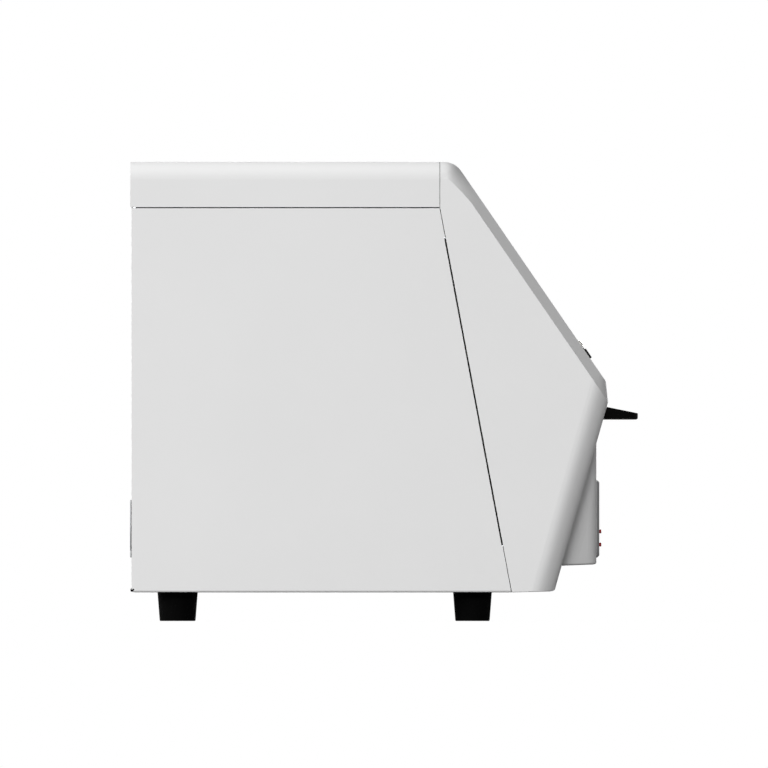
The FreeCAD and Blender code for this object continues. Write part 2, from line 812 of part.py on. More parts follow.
def side_frames():
    rear = SHEET + FRAME_SHEET
    strip = frame_lap(0.0)
    top = strip[3][1]
    pan_front = seam_depth(BODY_BOTTOM) - 2.0
    outline = [(rear, PAN_TOP), (pan_front, PAN_TOP), (pan_front, strip[1][1]), *strip[1:4], (rear, top)]
    corner = 12.0
    opening_low = 56.0
    opening_high = 392.0
    opening = [
        (26.0, opening_low, corner),
        (352.0, opening_low, corner),
        (291.0, opening_high, corner),
        (26.0, opening_high, corner),
    ]
    ring = prism(outline, FRAME_IN, PANEL_IN).cut(prism(opening, FRAME_IN - PAST, PANEL_IN + PAST))
    flange_in = 262.0
    flange = block(flange_in, PANEL_IN, SHEET, rear, PAN_TOP, top)
    for x, z in rear_screw_spots():
        flange = flange.cut(rod(x, 0, rear + PAST, z, SCREW_RADIUS))
    strip_back = 290.0
    strip_front = SEAM_TOP[0] + TOP_LAP
    strip_top = BODY_TOP - SHEET
    top_strip = block(
        -TOP_STRIP_HALF, TOP_STRIP_HALF, strip_back, strip_front, strip_top - FRAME_SHEET, strip_top
    )
    return Part.makeCompound(both_sides(merge([ring, flange])) + [top_strip])


def foot_spots():
    """Sideways place and depth of each foot."""
    return [(side * FOOT_SIDE, depth) for depth in FOOT_DEPTHS for side in (-1, 1)]


def rubber_feet():
    edge_round = 1.2
    feet = []
    for x, depth in foot_spots():
        foot = Part.makeCone(FOOT_BOTTOM_RADIUS, FOOT_TOP_RADIUS, BODY_BOTTOM, spot(x, depth, 0))
        rim = edges_near(foot, lambda point: point.z < NEAR)
        foot = foot.makeFillet(edge_round, [edge for edge in rim if edge.CenterOfMass.z < NEAR])
        foot = foot.cut(post(x, depth, -PAST, FOOT_POCKET_DEPTH, FOOT_POCKET_RADIUS))
        feet.append(foot.cut(post(x, depth, 0, BODY_BOTTOM + PAST, FOOT_SCREW_HOLE)))
    return Part.makeCompound(feet)


def foot_screws():
    """The screws and nuts that hold the feet to the base pan."""
    head_radius = 5.0
    head_low = FOOT_POCKET_DEPTH - 4.0
    nut_high = 4.5
    nut_radius = 4.6
    stem_top = PAN_TOP + nut_high + 2.0
    sides = 6
    screws = []
    for x, depth in foot_spots():
        turns = [2 * math.pi * step / sides for step in range(sides + 1)]
        arms = [Vector(math.cos(turn), math.sin(turn), 0) * nut_radius for turn in turns]
        hexagon = Part.makePolygon([spot(x, depth, PAN_TOP) + arm for arm in arms])
        head = post(x, depth, head_low, FOOT_POCKET_DEPTH, head_radius)
        stem = post(x, depth, FOOT_POCKET_DEPTH - PAST, stem_top, FOOT_SCREW_RADIUS)
        screws.append(merge([head, stem, Part.Face(hexagon).extrude(Vector(0, 0, nut_high))]))
    return screws


def rear_screw_spots():
    """Sideways place and height of the countersunk screws that hold the rear panel to the side frames."""
    return [(side * REAR_SCREW_SIDE, height) for height in REAR_SCREW_HEIGHTS for side in (-1, 1)]


def fan_screw_spots():
    """Sideways place and height of the screws that hold the fan and its guard."""
    signs = [(across, up) for across in (-1, 1) for up in (-1, 1)]
    return [(FAN_SIDE + across * FAN_SCREW, FAN_HEIGHT + up * FAN_SCREW) for across, up in signs]


def sunk_head(x, z):
    """The countersunk head of a rear panel screw."""
    return Part.makeCone(SCREW_HEAD, SCREW_RADIUS, SHEET, spot(x, 0, z), Vector(0, -1, 0))


def fixing_screws():
    screws = foot_screws()
    for x, z in rear_screw_spots():
        screws.append(merge([sunk_head(x, z), rod(x, SHEET / 2, SCREW_LONG, z, SCREW_RADIUS)]))
    fan_screw_end = SHEET + FAN_DEEP + 3.0
    for x, z in fan_screw_spots():
        head = rod(x, -GUARD_REACH, -EAR_THICK, z, SCREW_HEAD)
        screws.append(merge([head, rod(x, -GUARD_REACH, fan_screw_end, z, SCREW_RADIUS)]))
    return Part.makeCompound(screws)


# Chamber

def cavity_outline(outwards):
    """Side outline of the heated space, moved outwards."""
    return inset(CAVITY, [-outwards] * len(CAVITY))


def layer_slab(index, near, far, half):
    """One slab of a chamber layer: side number index of the outline, between two distances outwards."""
    inner = cavity_outline(near)
    outer = cavity_outline(far)
    after = (index + 1) % len(CAVITY)
    return prism([inner[index], inner[after], outer[after], outer[index]], -half, half)


def mouth_block(margin):
    """The drawer's way through the chamber's front, with a margin all round."""
    half = MOUTH_HALF + margin
    depths = (390.0, 450.0)
    return block(-half, half, *depths, MOUTH_LOW - margin, MOUTH_HIGH + margin)


def view_block(margin, low, high):
    """The line of sight through the window, with a margin all round, between two levels below the slope."""
    half = VIEW_HALF + margin
    return face_block(SLOPE_FACE, -half, half, VIEW_LOW - margin, VIEW_HIGH + margin, low, high)


def heater_bars(radius, x0, x1):
    """One bar along each heater tube."""
    places = [(depth, height) for height in HEATER_HEIGHTS for depth in HEATER_DEPTHS]
    return [cross_rod(x0, x1, depth, height, radius) for depth, height in places]


def probe_bars(radius, x0, x1):
    """One bar along each thermocouple, through the left-hand wall."""
    return [cross_rod(x0, x1, depth, PROBE_HEIGHT, radius) for depth in PROBE_DEPTHS]


def side_holes(x0, x1):
    """What is cut through the chamber's sides for the heater tubes and, on the left, the thermocouples."""
    holes = heater_bars(HEATER_HOLE, x0, x1) + probe_bars(PROBE_HOLE, -HALF, -CAVITY_HALF / 2)
    return Part.makeCompound(holes)


def shaft_bore():
    """The hole that clears the blower shaft through the chamber's rear."""
    depths = (60.0, 118.0)
    return rod(0, *depths, BLOWER_HEIGHT, SHAFT_HOLE)


def chamber_floor():
    return layer_slab(0, 0, LINER, CAVITY_HALF)


def chamber_front_wall():
    return layer_slab(1, 0, LINER, CAVITY_HALF).cut(mouth_block(0))


def chamber_window_wall():
    opening = view_block(-VIEW_LEDGE, -WINDOW_DEPTH - DEEP, 0.0)
    return layer_slab(2, 0, LINER, CAVITY_HALF).cut(opening)


def chamber_roof():
    return layer_slab(3, 0, LINER, CAVITY_HALF)


def chamber_rear_wall():
    return layer_slab(4, 0, LINER, CAVITY_HALF).cut(shaft_bore())


def chamber_wall():
    """The right-hand side wall of the heated space, with its heater holes."""
    return prism(cavity_outline(LINER), CAVITY_HALF, CAVITY_HALF + LINER).cut(side_holes(0.0, HALF))


def chamber_wall_left():
    return both_sides(chamber_wall())[1].cut(side_holes(-HALF, 0.0))


def chamber_wall_right():
    return chamber_wall()


def chamber_insulation():
    near = LINER
    far = LINER + INSULATION
    half = CAVITY_HALF + near
    openings = [mouth_block(MOUTH_SHEET), view_block(VIEW_SHEET, -WINDOW_DEPTH - PAST, 0.0), shaft_bore()]
    openings = Part.makeCompound(openings)
    slabs = [layer_slab(index, near, far, half).cut(openings) for index in range(len(CAVITY))]
    for side in both_sides(prism(cavity_outline(far), half, half + INSULATION)):
        slabs.append(side.cut(side_holes(-HALF, HALF)))
    return Part.makeCompound(slabs)


def chamber_casing():
    outer = LINER + INSULATION + CASING
    inner = LINER + INSULATION
    casing = prism(cavity_outline(outer), -CASING_HALF, CASING_HALF)
    casing = casing.cut(prism(cavity_outline(inner), CASING - CASING_HALF, CASING_HALF - CASING))
    openings = [mouth_block(MOUTH_SHEET), view_block(VIEW_SHEET, -WINDOW_DEPTH, 0.0), shaft_bore()]
    for opening in openings + [side_holes(-HALF, HALF)]:
        casing = casing.cut(opening)
    return casing


def mouth_frame():
    back = CAVITY[1][0] + LINER
    half = MOUTH_HALF + MOUTH_SHEET
    sleeve = block(-half, half, back, MOUTH_FRONT, MOUTH_LOW - MOUTH_SHEET, MOUTH_HIGH + MOUTH_SHEET)
    flange_half = MOUTH_FLANGE_HALF
    flange_back = MOUTH_FRONT - MOUTH_SHEET
    flange_heights = (MOUTH_FLANGE_LOW, MOUTH_FLANGE_HIGH)
    flange = block(-flange_half, flange_half, flange_back, MOUTH_FRONT, *flange_heights)
    return merge([sleeve, flange]).cut(mouth_block(0))


def chamber_stands():
    half = STAND_WIDE / 2
    bore = half - 2.0
    low = PAN_TOP
    high = CASING_FLOOR
    stands = []
    for depth in STAND_DEPTHS:
        for x in (-STAND_SIDE, STAND_SIDE):
            post_block = block(x - half, x + half, depth - half, depth + half, low, high)
            hollow = block(x - bore, x + bore, depth - bore, depth + bore, low - PAST, high + PAST)
            stands.append(post_block.cut(hollow))
    return Part.makeCompound(stands)


def heater_tubes():
    return Part.makeCompound(heater_bars(HEATER_RADIUS, -HEATER_HALF, HEATER_HALF))


def heater_sockets():
    tubes = Part.makeCompound(heater_bars(HEATER_RADIUS, 0.0, HALF))
    sockets = []
    for bar in heater_bars(SOCKET_RADIUS, CASING_HALF, HEATER_HALF):
        sockets += both_sides(bar.cut(tubes))
    return Part.makeCompound(sockets)


def air_baffle():
    front = BAFFLE_DEPTH + BAFFLE_SHEET
    through = (BAFFLE_DEPTH - PAST, front + PAST)
    low = CAVITY[0][1]
    high = CAVITY[4][1]
    eye = 42.0
    columns = 3
    rows = 6
    first_side = 100.0
    first_height = low + 32.0
    side_pitch = 25.0
    height_pitch = 33.0
    half_wide = 4.0
    half_tall = 11.0
    corner = 3.9
    cuts = [rod(0, *through, BLOWER_HEIGHT, eye)]
    for column in range(columns):
        x = first_side + side_pitch * column
        for row in range(rows):
            z = first_height + height_pitch * row
            slot = (x - half_wide, x + half_wide, z - half_tall, z + half_tall)
            cuts += both_sides(rounded_plate(*slot, corner, *through))
    return block(-CAVITY_HALF, CAVITY_HALF, BAFFLE_DEPTH, front, low, high).cut(Part.makeCompound(cuts))


def blower_motor():
    flange_back = 73.0
    flange_front = 76.0
    half = 45.0
    corner = 8.0
    can_radius = 38.0
    can_back = 30.0
    boss_radius = 11.0
    boss_back = 24.0
    pillar_side = 36.0
    pillar_radius = 5.0
    low = BLOWER_HEIGHT - half
    pieces = [
        rod(0, can_back, flange_back, BLOWER_HEIGHT, can_radius),
        rod(0, boss_back, can_back + PAST, BLOWER_HEIGHT, boss_radius),
        rounded_plate(-half, half, low, low + 2 * half, corner, flange_back, flange_front),
    ]
    for across in (-pillar_side, pillar_side):
        for up in (-pillar_side, pillar_side):
            pieces.append(rod(across, flange_front, CASING_REAR, BLOWER_HEIGHT + up, pillar_radius))
    bore = rod(0, boss_back - PAST, CASING_REAR, BLOWER_HEIGHT, SHAFT_RADIUS + SHAFT_CLEARANCE)
    return merge(pieces).cut(bore)


def blower_shaft():
    back = 22.0
    return rod(0, back, HUB_FRONT, BLOWER_HEIGHT, SHAFT_RADIUS)


def blower_wheel():
    back = WHEEL_BACK
    disc = 1.5
    blades = 12
    hub = 12.0
    eye = 40.0
    half_thick = 0.8
    blade_low = BLOWER_HEIGHT + hub - 2.0
    blade_high = BLOWER_HEIGHT + WHEEL_RADIUS - disc
    blade_depths = (back + disc / 2, WHEEL_FRONT - disc / 2)
    ring = rod(0, WHEEL_FRONT - disc, WHEEL_FRONT, BLOWER_HEIGHT, WHEEL_RADIUS)
    pieces = [
        rod(0, back, back + disc, BLOWER_HEIGHT, WHEEL_RADIUS),
        rod(0, back, HUB_FRONT, BLOWER_HEIGHT, hub),
        ring.cut(rod(0, back, WHEEL_FRONT + PAST, BLOWER_HEIGHT, eye)),
    ]
    for number in range(blades):
        blade = block(-half_thick, half_thick, *blade_depths, blade_low, blade_high)
        blade.rotate(spot(0, back, BLOWER_HEIGHT), Vector(0, 1, 0), 360.0 / blades * number)
        pieces.append(blade)
    return merge(pieces).cut(rod(0, back - PAST, WHEEL_FRONT, BLOWER_HEIGHT, SHAFT_RADIUS))


# Viewing window

def window_glass():
    flat = (-GLASS_HALF, GLASS_HALF, GLASS_LOW, GLASS_HIGH)
    return face_plate(SLOPE_FACE, *flat, GLASS_CORNER, -SHELL_WALL, 0.0)


def window_retainer():
    corner = 12.0
    under = -SHELL_WALL - RETAINER_SHEET
    half = GLASS_HALF + RETAINER_LAP
    flat = (-half, half, GLASS_LOW - RETAINER_LAP, GLASS_HIGH + RETAINER_LAP)
    ring = face_plate(SLOPE_FACE, *flat, corner, under, -SHELL_WALL)
    return ring.cut(view_block(0, under - PAST, 0.0))


def window_tunnel():
    under = -SHELL_WALL - RETAINER_SHEET
    tunnel = view_block(VIEW_SHEET, -WINDOW_DEPTH, under)
    return tunnel.cut(view_block(0, -WINDOW_DEPTH - PAST, under + PAST))


def inner_glass():
    fit = 0.3
    return view_block(-fit, -WINDOW_DEPTH, INNER_GLASS_THICK - WINDOW_DEPTH)


# Power switch on the slope

def switch_block(long, wide, low, high):
    """A block about the middle of the power switch, in the frame of the slope."""
    sides = (SWITCH_SIDE - wide, SWITCH_SIDE + wide)
    rises = (SWITCH_RISE - long, SWITCH_RISE + long)
    return face_block(SLOPE_FACE, *sides, *rises, low, high)


def rocker_pin(radius, half):
    """A bar along the rocker's pivot, which runs up the slope."""
    pin = Part.makeCylinder(
        radius, 2 * half, Vector(SWITCH_SIDE, SWITCH_RISE - half, ROCKER_PIVOT), Vector(0, 1, 0)
    )
    pin.Placement = SLOPE_FACE
    return pin


def switch_body():
    corner = 1.5
    edge_round = 0.4
    wall = 1.2
    under = 18.0
    well = 9.0
    end_gap = 0.8
    side_gap = 0.3
    pin_hold = 0.9
    sides = (SWITCH_SIDE - SWITCH_WIDE, SWITCH_SIDE + SWITCH_WIDE)
    rises = (SWITCH_RISE - SWITCH_LONG, SWITCH_RISE + SWITCH_LONG)
    bezel = face_plate(SLOPE_FACE, *sides, *rises, corner, -SWITCH_SINK, SWITCH_PROUD)
    top = edges_near(bezel, lambda point: abs(rise_over(SLOPE_FACE, point) - SWITCH_PROUD) < NEAR)
    bezel = bezel.makeFillet(edge_round, top)
    body = merge([bezel, switch_block(SWITCH_LONG - wall, SWITCH_WIDE - wall, -under, 0.0)])
    body = body.cut(switch_block(ROCKER_LONG + side_gap, ROCKER_WIDE + end_gap, -well, DEEP))
    over_lip = (SWITCH_RISE + ROCKER_LONG, SWITCH_RISE + DEEP, SWITCH_LIP, DEEP)
    body = body.cut(face_block(SLOPE_FACE, SWITCH_SIDE - DEEP, SWITCH_SIDE + DEEP, *over_lip))
    return body.cut(rocker_pin(ROCKER_PIN + SHAFT_CLEARANCE, ROCKER_LONG + pin_hold))


def switch_rocker():
    side = SWITCH_SIDE
    reach = ROCKER_WIDE
    dip = 1.0
    edge_round = 1.0
    foot_low = -6.0
    foot_in = 2.0
    foot_round = 0.8
    pin_reach = 0.7
    outline = [
        (side - reach, ROCKER_PROUD, edge_round),
        (side, ROCKER_PROUD - dip, 0.0),
        (side + reach, ROCKER_PROUD, edge_round),
        (side + reach - foot_in, foot_low, foot_round),
        (side - reach + foot_in, foot_low, foot_round),
    ]
    face = rounded_face(outline, lambda flat: Vector(flat.x, SWITCH_RISE - ROCKER_LONG, flat.y))
    rocker = face.extrude(Vector(0, 2 * ROCKER_LONG, 0))
    rocker.Placement = SLOPE_FACE
    rocker = merge([rocker, rocker_pin(ROCKER_PIN, ROCKER_LONG + pin_reach)])
    pivot = SLOPE_FACE.multVec(Vector(side, SWITCH_RISE, ROCKER_PIVOT))
    rocker.rotate(pivot, SLOPE_FACE.Rotation.multVec(Vector(0, 1, 0)), ROCKER_TILT)
    return rocker


def pilot_post(radius, low, high):
    """A round bar along the pilot lamp's axis, between two levels over the slope."""
    bar = Part.makeCylinder(radius, high - low, Vector(SWITCH_SIDE, PILOT_RISE, low))
    bar.Placement = SLOPE_FACE
    return bar


def pilot_lamp():
    shoulder = 0.2
    stem_end = -12.0
    nut_wide = 1.6
    nut_thick = 2.5
    nut_top = -SHELL_WALL
    dome_radius = PILOT_RADIUS - shoulder
    dome_high = PILOT_PROUD - PILOT_RIM
    ball_radius = (dome_radius**2 + dome_high**2) / (2 * dome_high)
    ball = Part.makeSphere(ball_radius, Vector(SWITCH_SIDE, PILOT_RISE, PILOT_PROUD - ball_radius))
    ball.Placement = SLOPE_FACE
    pieces = [
        pilot_post(PILOT_RADIUS, 0.0, PILOT_RIM),
        pilot_post(dome_radius, 0.0, PILOT_PROUD).common(ball),
        pilot_post(PILOT_STEM, stem_end, PILOT_RIM / 2),
        pilot_post(PILOT_STEM + nut_wide, nut_top - nut_thick, nut_top),
    ]
    return merge(pieces)


# Control panel

def control_plate():
    flat = (-PLATE_HALF, PLATE_HALF, PLATE_LOW, PLATE_HIGH)
    panel = rounded_plate(*flat, PLATE_CORNER, POD_REACH, PLATE_FRONT)
    front_y = spot(0, PLATE_FRONT, 0).y
    rim = edges_near(panel, lambda point: abs(point.y - front_y) < NEAR)
    panel = panel.makeChamfer(PLATE_CHAMFER, rim)
    through = (POD_REACH - PAST, PLATE_FRONT + PAST)
    cuts = key_openings(KEY_GAP, *through)
    cuts += lamp_openings(LAMP_RADIUS + LAMP_GAP, *through)
    cuts.append(rounded_plate(*LENS, LENS_CORNER, *through))
    return panel.cut(Part.makeCompound(cuts))


def display_lens():
    x0, x1, z0, z1 = LENS
    flat = (x0 + LENS_GAP, x1 - LENS_GAP, z0 + LENS_GAP, z1 - LENS_GAP)
    return rounded_plate(*flat, LENS_CORNER - LENS_GAP, POD_REACH, PLATE_FRONT - LENS_SINK)


def display_module():
    margin = 3.0
    x0, x1, z0, z1 = LENS
    return block(x0 + margin, x1 - margin, BOARD_FRONT, POD_INSIDE, z0 + margin, z1 - margin)


def control_board():
    half = 101.0
    low = 68.0
    high = 137.0
    corner = 2.0
    spacer_radius = 2.2
    spacer_in = 4.0
    spacer_middle = 14.0
    button_half = 3.0
    spacer_heights = (70.5, 134.5)
    spacer_by_lamps = 104.0
    connector = (-60.0, -20.0)
    connector_heights = (74.0, 82.0)
    processor = (20.0, 48.0)
    processor_heights = (92.0, 120.0)
    processor_deep = 3.0
    pieces = [rounded_plate(-half, half, low, high, corner, BOARD_BACK, BOARD_FRONT)]
    spacers = [(x, z) for x in (half - spacer_in, -spacer_middle) for z in spacer_heights]
    spacers += [(spacer_in - half, z) for z in (spacer_heights[1], spacer_by_lamps)]
    pieces += [rod(x, BOARD_FRONT, POD_INSIDE, z, spacer_radius) for x, z in spacers]
    for x, z in KEY_SPOTS.values():
        sides = (x - button_half, x + button_half)
        pieces.append(block(*sides, BOARD_FRONT, BOARD_FRONT + BUTTON_HIGH, z - button_half, z + button_half))
    pieces.append(block(*connector, BOARD_BACK - CONNECTOR_DEEP, BOARD_BACK, *connector_heights))
    pieces.append(block(*processor, BOARD_BACK - processor_deep, BOARD_BACK, *processor_heights))
    return merge(pieces)


def indicator_leds():
    tip_round = 0.7
    tip_y = spot(0, LAMP_REACH, 0).y
    lamps = []
    for height in LAMP_HEIGHTS:
        lamp = rod(LAMP_SIDE, BOARD_FRONT, LAMP_REACH, height, LAMP_RADIUS)
        tip = edges_near(lamp, lambda point: abs(point.y - tip_y) < NEAR)
        lamps.append(lamp.makeFillet(tip_round, tip))
    return Part.makeCompound(lamps)


def push_key(x, z):
    """One push key: a cap that shows through the plate, and a flange that keeps it behind the pod's wall."""
    button_gap = 0.2
    wall_gap = 0.1
    edge_round = 0.6
    flange_corner = 3.0
    back = BOARD_FRONT + BUTTON_HIGH + KEY_TRAVEL + button_gap
    front = PLATE_FRONT - LENS_SINK
    wide = KEY_WIDE / 2
    tall = KEY_TALL / 2
    cap = rounded_plate(x - wide, x + wide, z - tall, z + tall, KEY_CORNER, back, front)
    front_y = spot(0, front, 0).y
    cap = cap.makeFillet(edge_round, edges_near(cap, lambda point: abs(point.y - front_y) < NEAR))
    wide += KEY_FLANGE
    tall += KEY_FLANGE
    flange_front = POD_INSIDE - wall_gap
    flange = rounded_plate(x - wide, x + wide, z - tall, z + tall, flange_corner, back, flange_front)
    return merge([cap, flange])


# Drawer and slides

def drawer_front():
    edge_round = 1.5
    open_back = -5.0
    depths = (400.0, 500.0)
    back = BACK_PLATE[1]
    outline = [
        (back, DRAWER_LOW),
        (lower_depth(DRAWER_LOW), DRAWER_LOW, edge_round),
        (lower_depth(DRAWER_HIGH), DRAWER_HIGH, edge_round),
        (back, DRAWER_HIGH),
    ]
    hollow = inset([corner[:2] for corner in outline], [DRAWER_WALL] * 3 + [open_back])
    inner_half = DRAWER_HALF - DRAWER_WALL
    front = prism(outline, -DRAWER_HALF, DRAWER_HALF).cut(prism(hollow, -inner_half, inner_half))
    return front.common(drawer_slab(*depths))


def drawer_slab(depth0, depth1):
    """A plate of the drawer front's outline."""
    flat = (-DRAWER_HALF, DRAWER_HALF, DRAWER_LOW, DRAWER_HIGH)
    return rounded_plate(*flat, DRAWER_CORNER, depth0, depth1)


def drawer_back_plate():
    return drawer_slab(*BACK_PLATE)


def drawer_plug():
    half = MOUTH_HALF - PLUG_GAP
    low = MOUTH_LOW + PLUG_GAP
    high = MOUTH_HIGH - PLUG_GAP
    return block(-half, half, PLUG_BACK, BACK_PLATE[0], low, high)


def drawer_gasket():
    flat = (-GASKET_HALF, GASKET_HALF, DRAWER_LOW, DRAWER_HIGH)
    return rounded_plate(*flat, DRAWER_CORNER, MOUTH_FRONT, BACK_PLATE[0]).cut(drawer_plug())


def drawer_rack():
    weld = 0.8
    front_margin = 12.0
    wire_height = RACK_ROD_HEIGHT + RACK_ROD + RACK_WIRE - weld
    front = PLUG_BACK
    pieces = []
    for number in range(RACK_RODS):
        depth = RACK_BACK + RACK_ROD + (front - RACK_BACK - front_margin) * number / (RACK_RODS - 1)
        pieces.append(cross_rod(-RACK_HALF, RACK_HALF, depth, RACK_ROD_HEIGHT, RACK_ROD))
    edge = RACK_HALF - RACK_ROD
    for number in range(RACK_WIRES):
        x = -edge + 2 * edge * number / (RACK_WIRES - 1)
        pieces.append(rod(x, RACK_BACK, front, wire_height, RACK_WIRE))
    return merge(pieces)


def drawer_handle():
    edge_round = 0.5
    plan_back = 460.0
    plan_low = 190.0
    plan_high = 230.0
    outline = [
        (lower_depth(HANDLE_LOW), HANDLE_LOW),
        (HANDLE_REACH, HANDLE_LOW, edge_round),
        (HANDLE_REACH, HANDLE_TIP, edge_round),
        (lower_depth(HANDLE_ROOT), HANDLE_ROOT),
    ]
    wedge = prism(outline, -HANDLE_HALF, HANDLE_HALF)
    corners = [
        (-HANDLE_HALF, plan_back, 0),
        (HANDLE_HALF, plan_back, 0),
        (HANDLE_HALF, HANDLE_REACH, HANDLE_CORNER),
        (-HANDLE_HALF, HANDLE_REACH, HANDLE_CORNER),
    ]
    plan = rounded_face(corners, lambda flat: spot(flat.x, flat.y, plan_low))
    return wedge.common(plan.extrude(Vector(0, 0, plan_high - plan_low)))


def channel(depths, x0, x1, half_high, opens_out):
    """A pair of C-section rails. The open side faces out of the oven, or in towards it."""
    low = SLIDE_HEIGHT - half_high
    high = SLIDE_HEIGHT + half_high
    rail = block(x0, x1, *depths, low, high)
    inside0 = x0 + SLIDE_SHEET if opens_out else x0 - PAST
    inside1 = x1 + PAST if opens_out else x1 - SLIDE_SHEET
    inside_depths = (depths[0] - PAST, depths[1] + PAST)
    return rail.cut(block(inside0, inside1, *inside_depths, low + SLIDE_SHEET, high - SLIDE_SHEET))


def slide_fixed_rails():
    rail = channel(FIXED_RAIL, SLIDE_SIDE, SLIDE_SIDE + FIXED_WIDE, FIXED_HALF, True)
    return Part.makeCompound(both_sides(rail))


def slide_middle_rails():
    inside = SLIDE_SIDE + SLIDE_STEP
    rail = channel(MIDDLE_RAIL, inside, inside + MIDDLE_WIDE, MIDDLE_HALF, True)
    return Part.makeCompound(both_sides(rail))


def slide_inner_rails():
    tab_wide = 12.0
    tab_deep = 2.0
    inside = SLIDE_SIDE + 2 * SLIDE_STEP
    outside = inside + INNER_WIDE
    rail = channel(INNER_RAIL, inside, outside, INNER_HALF, False)
    low = SLIDE_HEIGHT - INNER_HALF
    high = SLIDE_HEIGHT + INNER_HALF
    plate_back = BACK_PLATE[0]
    arm = block(outside - SLIDE_SHEET, outside, INNER_RAIL[1] - PAST, plate_back, low, high)
    tab = block(outside - SLIDE_SHEET, outside + tab_wide, plate_back - tab_deep, plate_back, low, high)
    return Part.makeCompound(both_sides(merge([rail, arm, tab])))


# Cooling fan, mains inlet and electronics

def fan_frame():
    corner = 4.0
    hub = 12.0
    back_plate = 3.0
    strut_half = 1.2
    struts = 4
    sides = (FAN_SIDE - FAN_HALF, FAN_SIDE + FAN_HALF)
    heights = (FAN_HEIGHT - FAN_HALF, FAN_HEIGHT + FAN_HALF)
    through = (0.0, FAN_FRONT + PAST)
    frame = rounded_plate(*sides, *heights, corner, SHEET, FAN_FRONT)
    frame = frame.cut(rod(FAN_SIDE, *through, FAN_HEIGHT, FAN_BORE))
    behind = (FAN_FRONT - back_plate, FAN_FRONT)
    pieces = [frame, rod(FAN_SIDE, *behind, FAN_HEIGHT, hub)]
    strut_sides = (FAN_SIDE - strut_half, FAN_SIDE + strut_half)
    strut_heights = (FAN_HEIGHT + hub - 2.0, FAN_HEIGHT + FAN_BORE + PAST)
    for number in range(struts):
        strut = block(*strut_sides, *behind, *strut_heights)
        strut.rotate(spot(FAN_SIDE, FAN_FRONT, FAN_HEIGHT), Vector(0, 1, 0), 360.0 * (number + 0.5) / struts)
        pieces.append(strut)
    cuts = [rod(x, *through, z, SCREW_RADIUS) for x, z in fan_screw_spots()]
    cuts.append(rod(FAN_SIDE, *through, FAN_HEIGHT, FAN_AXLE + SHAFT_CLEARANCE))
    return merge(pieces).cut(Part.makeCompound(cuts))


def fan_rotor():
    back = SHEET + 2.5
    front = FAN_FRONT - 4.0
    middle = (back + front) / 2
    hub = 11.0
    blades = 7
    blade_half = 0.6
    blade_root = hub - 2.0
    blade_gap = 1.5
    twist = 38.0
    pieces = [
        rod(FAN_SIDE, back, front, FAN_HEIGHT, hub),
        rod(FAN_SIDE, front - PAST, FAN_FRONT, FAN_HEIGHT, FAN_AXLE),
    ]
    sides = (FAN_SIDE - blade_half, FAN_SIDE + blade_half)
    heights = (FAN_HEIGHT + blade_root, FAN_HEIGHT + FAN_BORE - blade_gap)
    centre = spot(FAN_SIDE, middle, FAN_HEIGHT)
    for number in range(blades):
        blade = block(*sides, back + PAST, front - PAST, *heights)
        blade.rotate(centre, Vector(0, 0, 1), twist)
        blade.rotate(centre, Vector(0, 1, 0), 360.0 / blades * number)
        pieces.append(blade)
    return merge(pieces)


def fan_guard():
    rings = (8.0, 14.7, 21.4, GUARD_RADIUS)
    spokes = 4
    spoke_in = 6.0
    ear_rim = 0.6
    well = -3.0
    depth = GUARD_WIRE - GUARD_REACH
    hub = spot(FAN_SIDE, depth, FAN_HEIGHT)
    pieces = [Part.makeTorus(radius, GUARD_WIRE, hub, Vector(0, 1, 0)) for radius in rings]
    spoke_heights = (FAN_HEIGHT + spoke_in, FAN_HEIGHT + FAN_SCREW * math.sqrt(2))
    for number in range(spokes):
        spoke = post(FAN_SIDE, -GUARD_SPOKE, *spoke_heights, GUARD_SPOKE)
        spoke.rotate(hub, Vector(0, 1, 0), 360.0 * (number + 0.5) / spokes)
        pieces.append(spoke)
    pieces += [rod(x, -EAR_THICK, 0.0, z, SCREW_HEAD + ear_rim) for x, z in fan_screw_spots()]
    guard = merge(pieces)
    for x, z in fan_screw_spots():
        guard = guard.cut(rod(x, well, -EAR_THICK, z, SCREW_HEAD)).cut(rod(x, well, PAST, z, SCREW_RADIUS))
    return guard


def inlet_body(margin):
    """The part of the mains inlet that passes through the rear panel, with a margin."""
    wide = 14.0 + margin
    tall = 22.0 + margin
    sides = (INLET_SIDE - wide, INLET_SIDE + wide)
    return block(*sides, -INLET_PROUD, INLET_BACK, FAN_HEIGHT - tall, FAN_HEIGHT + tall)


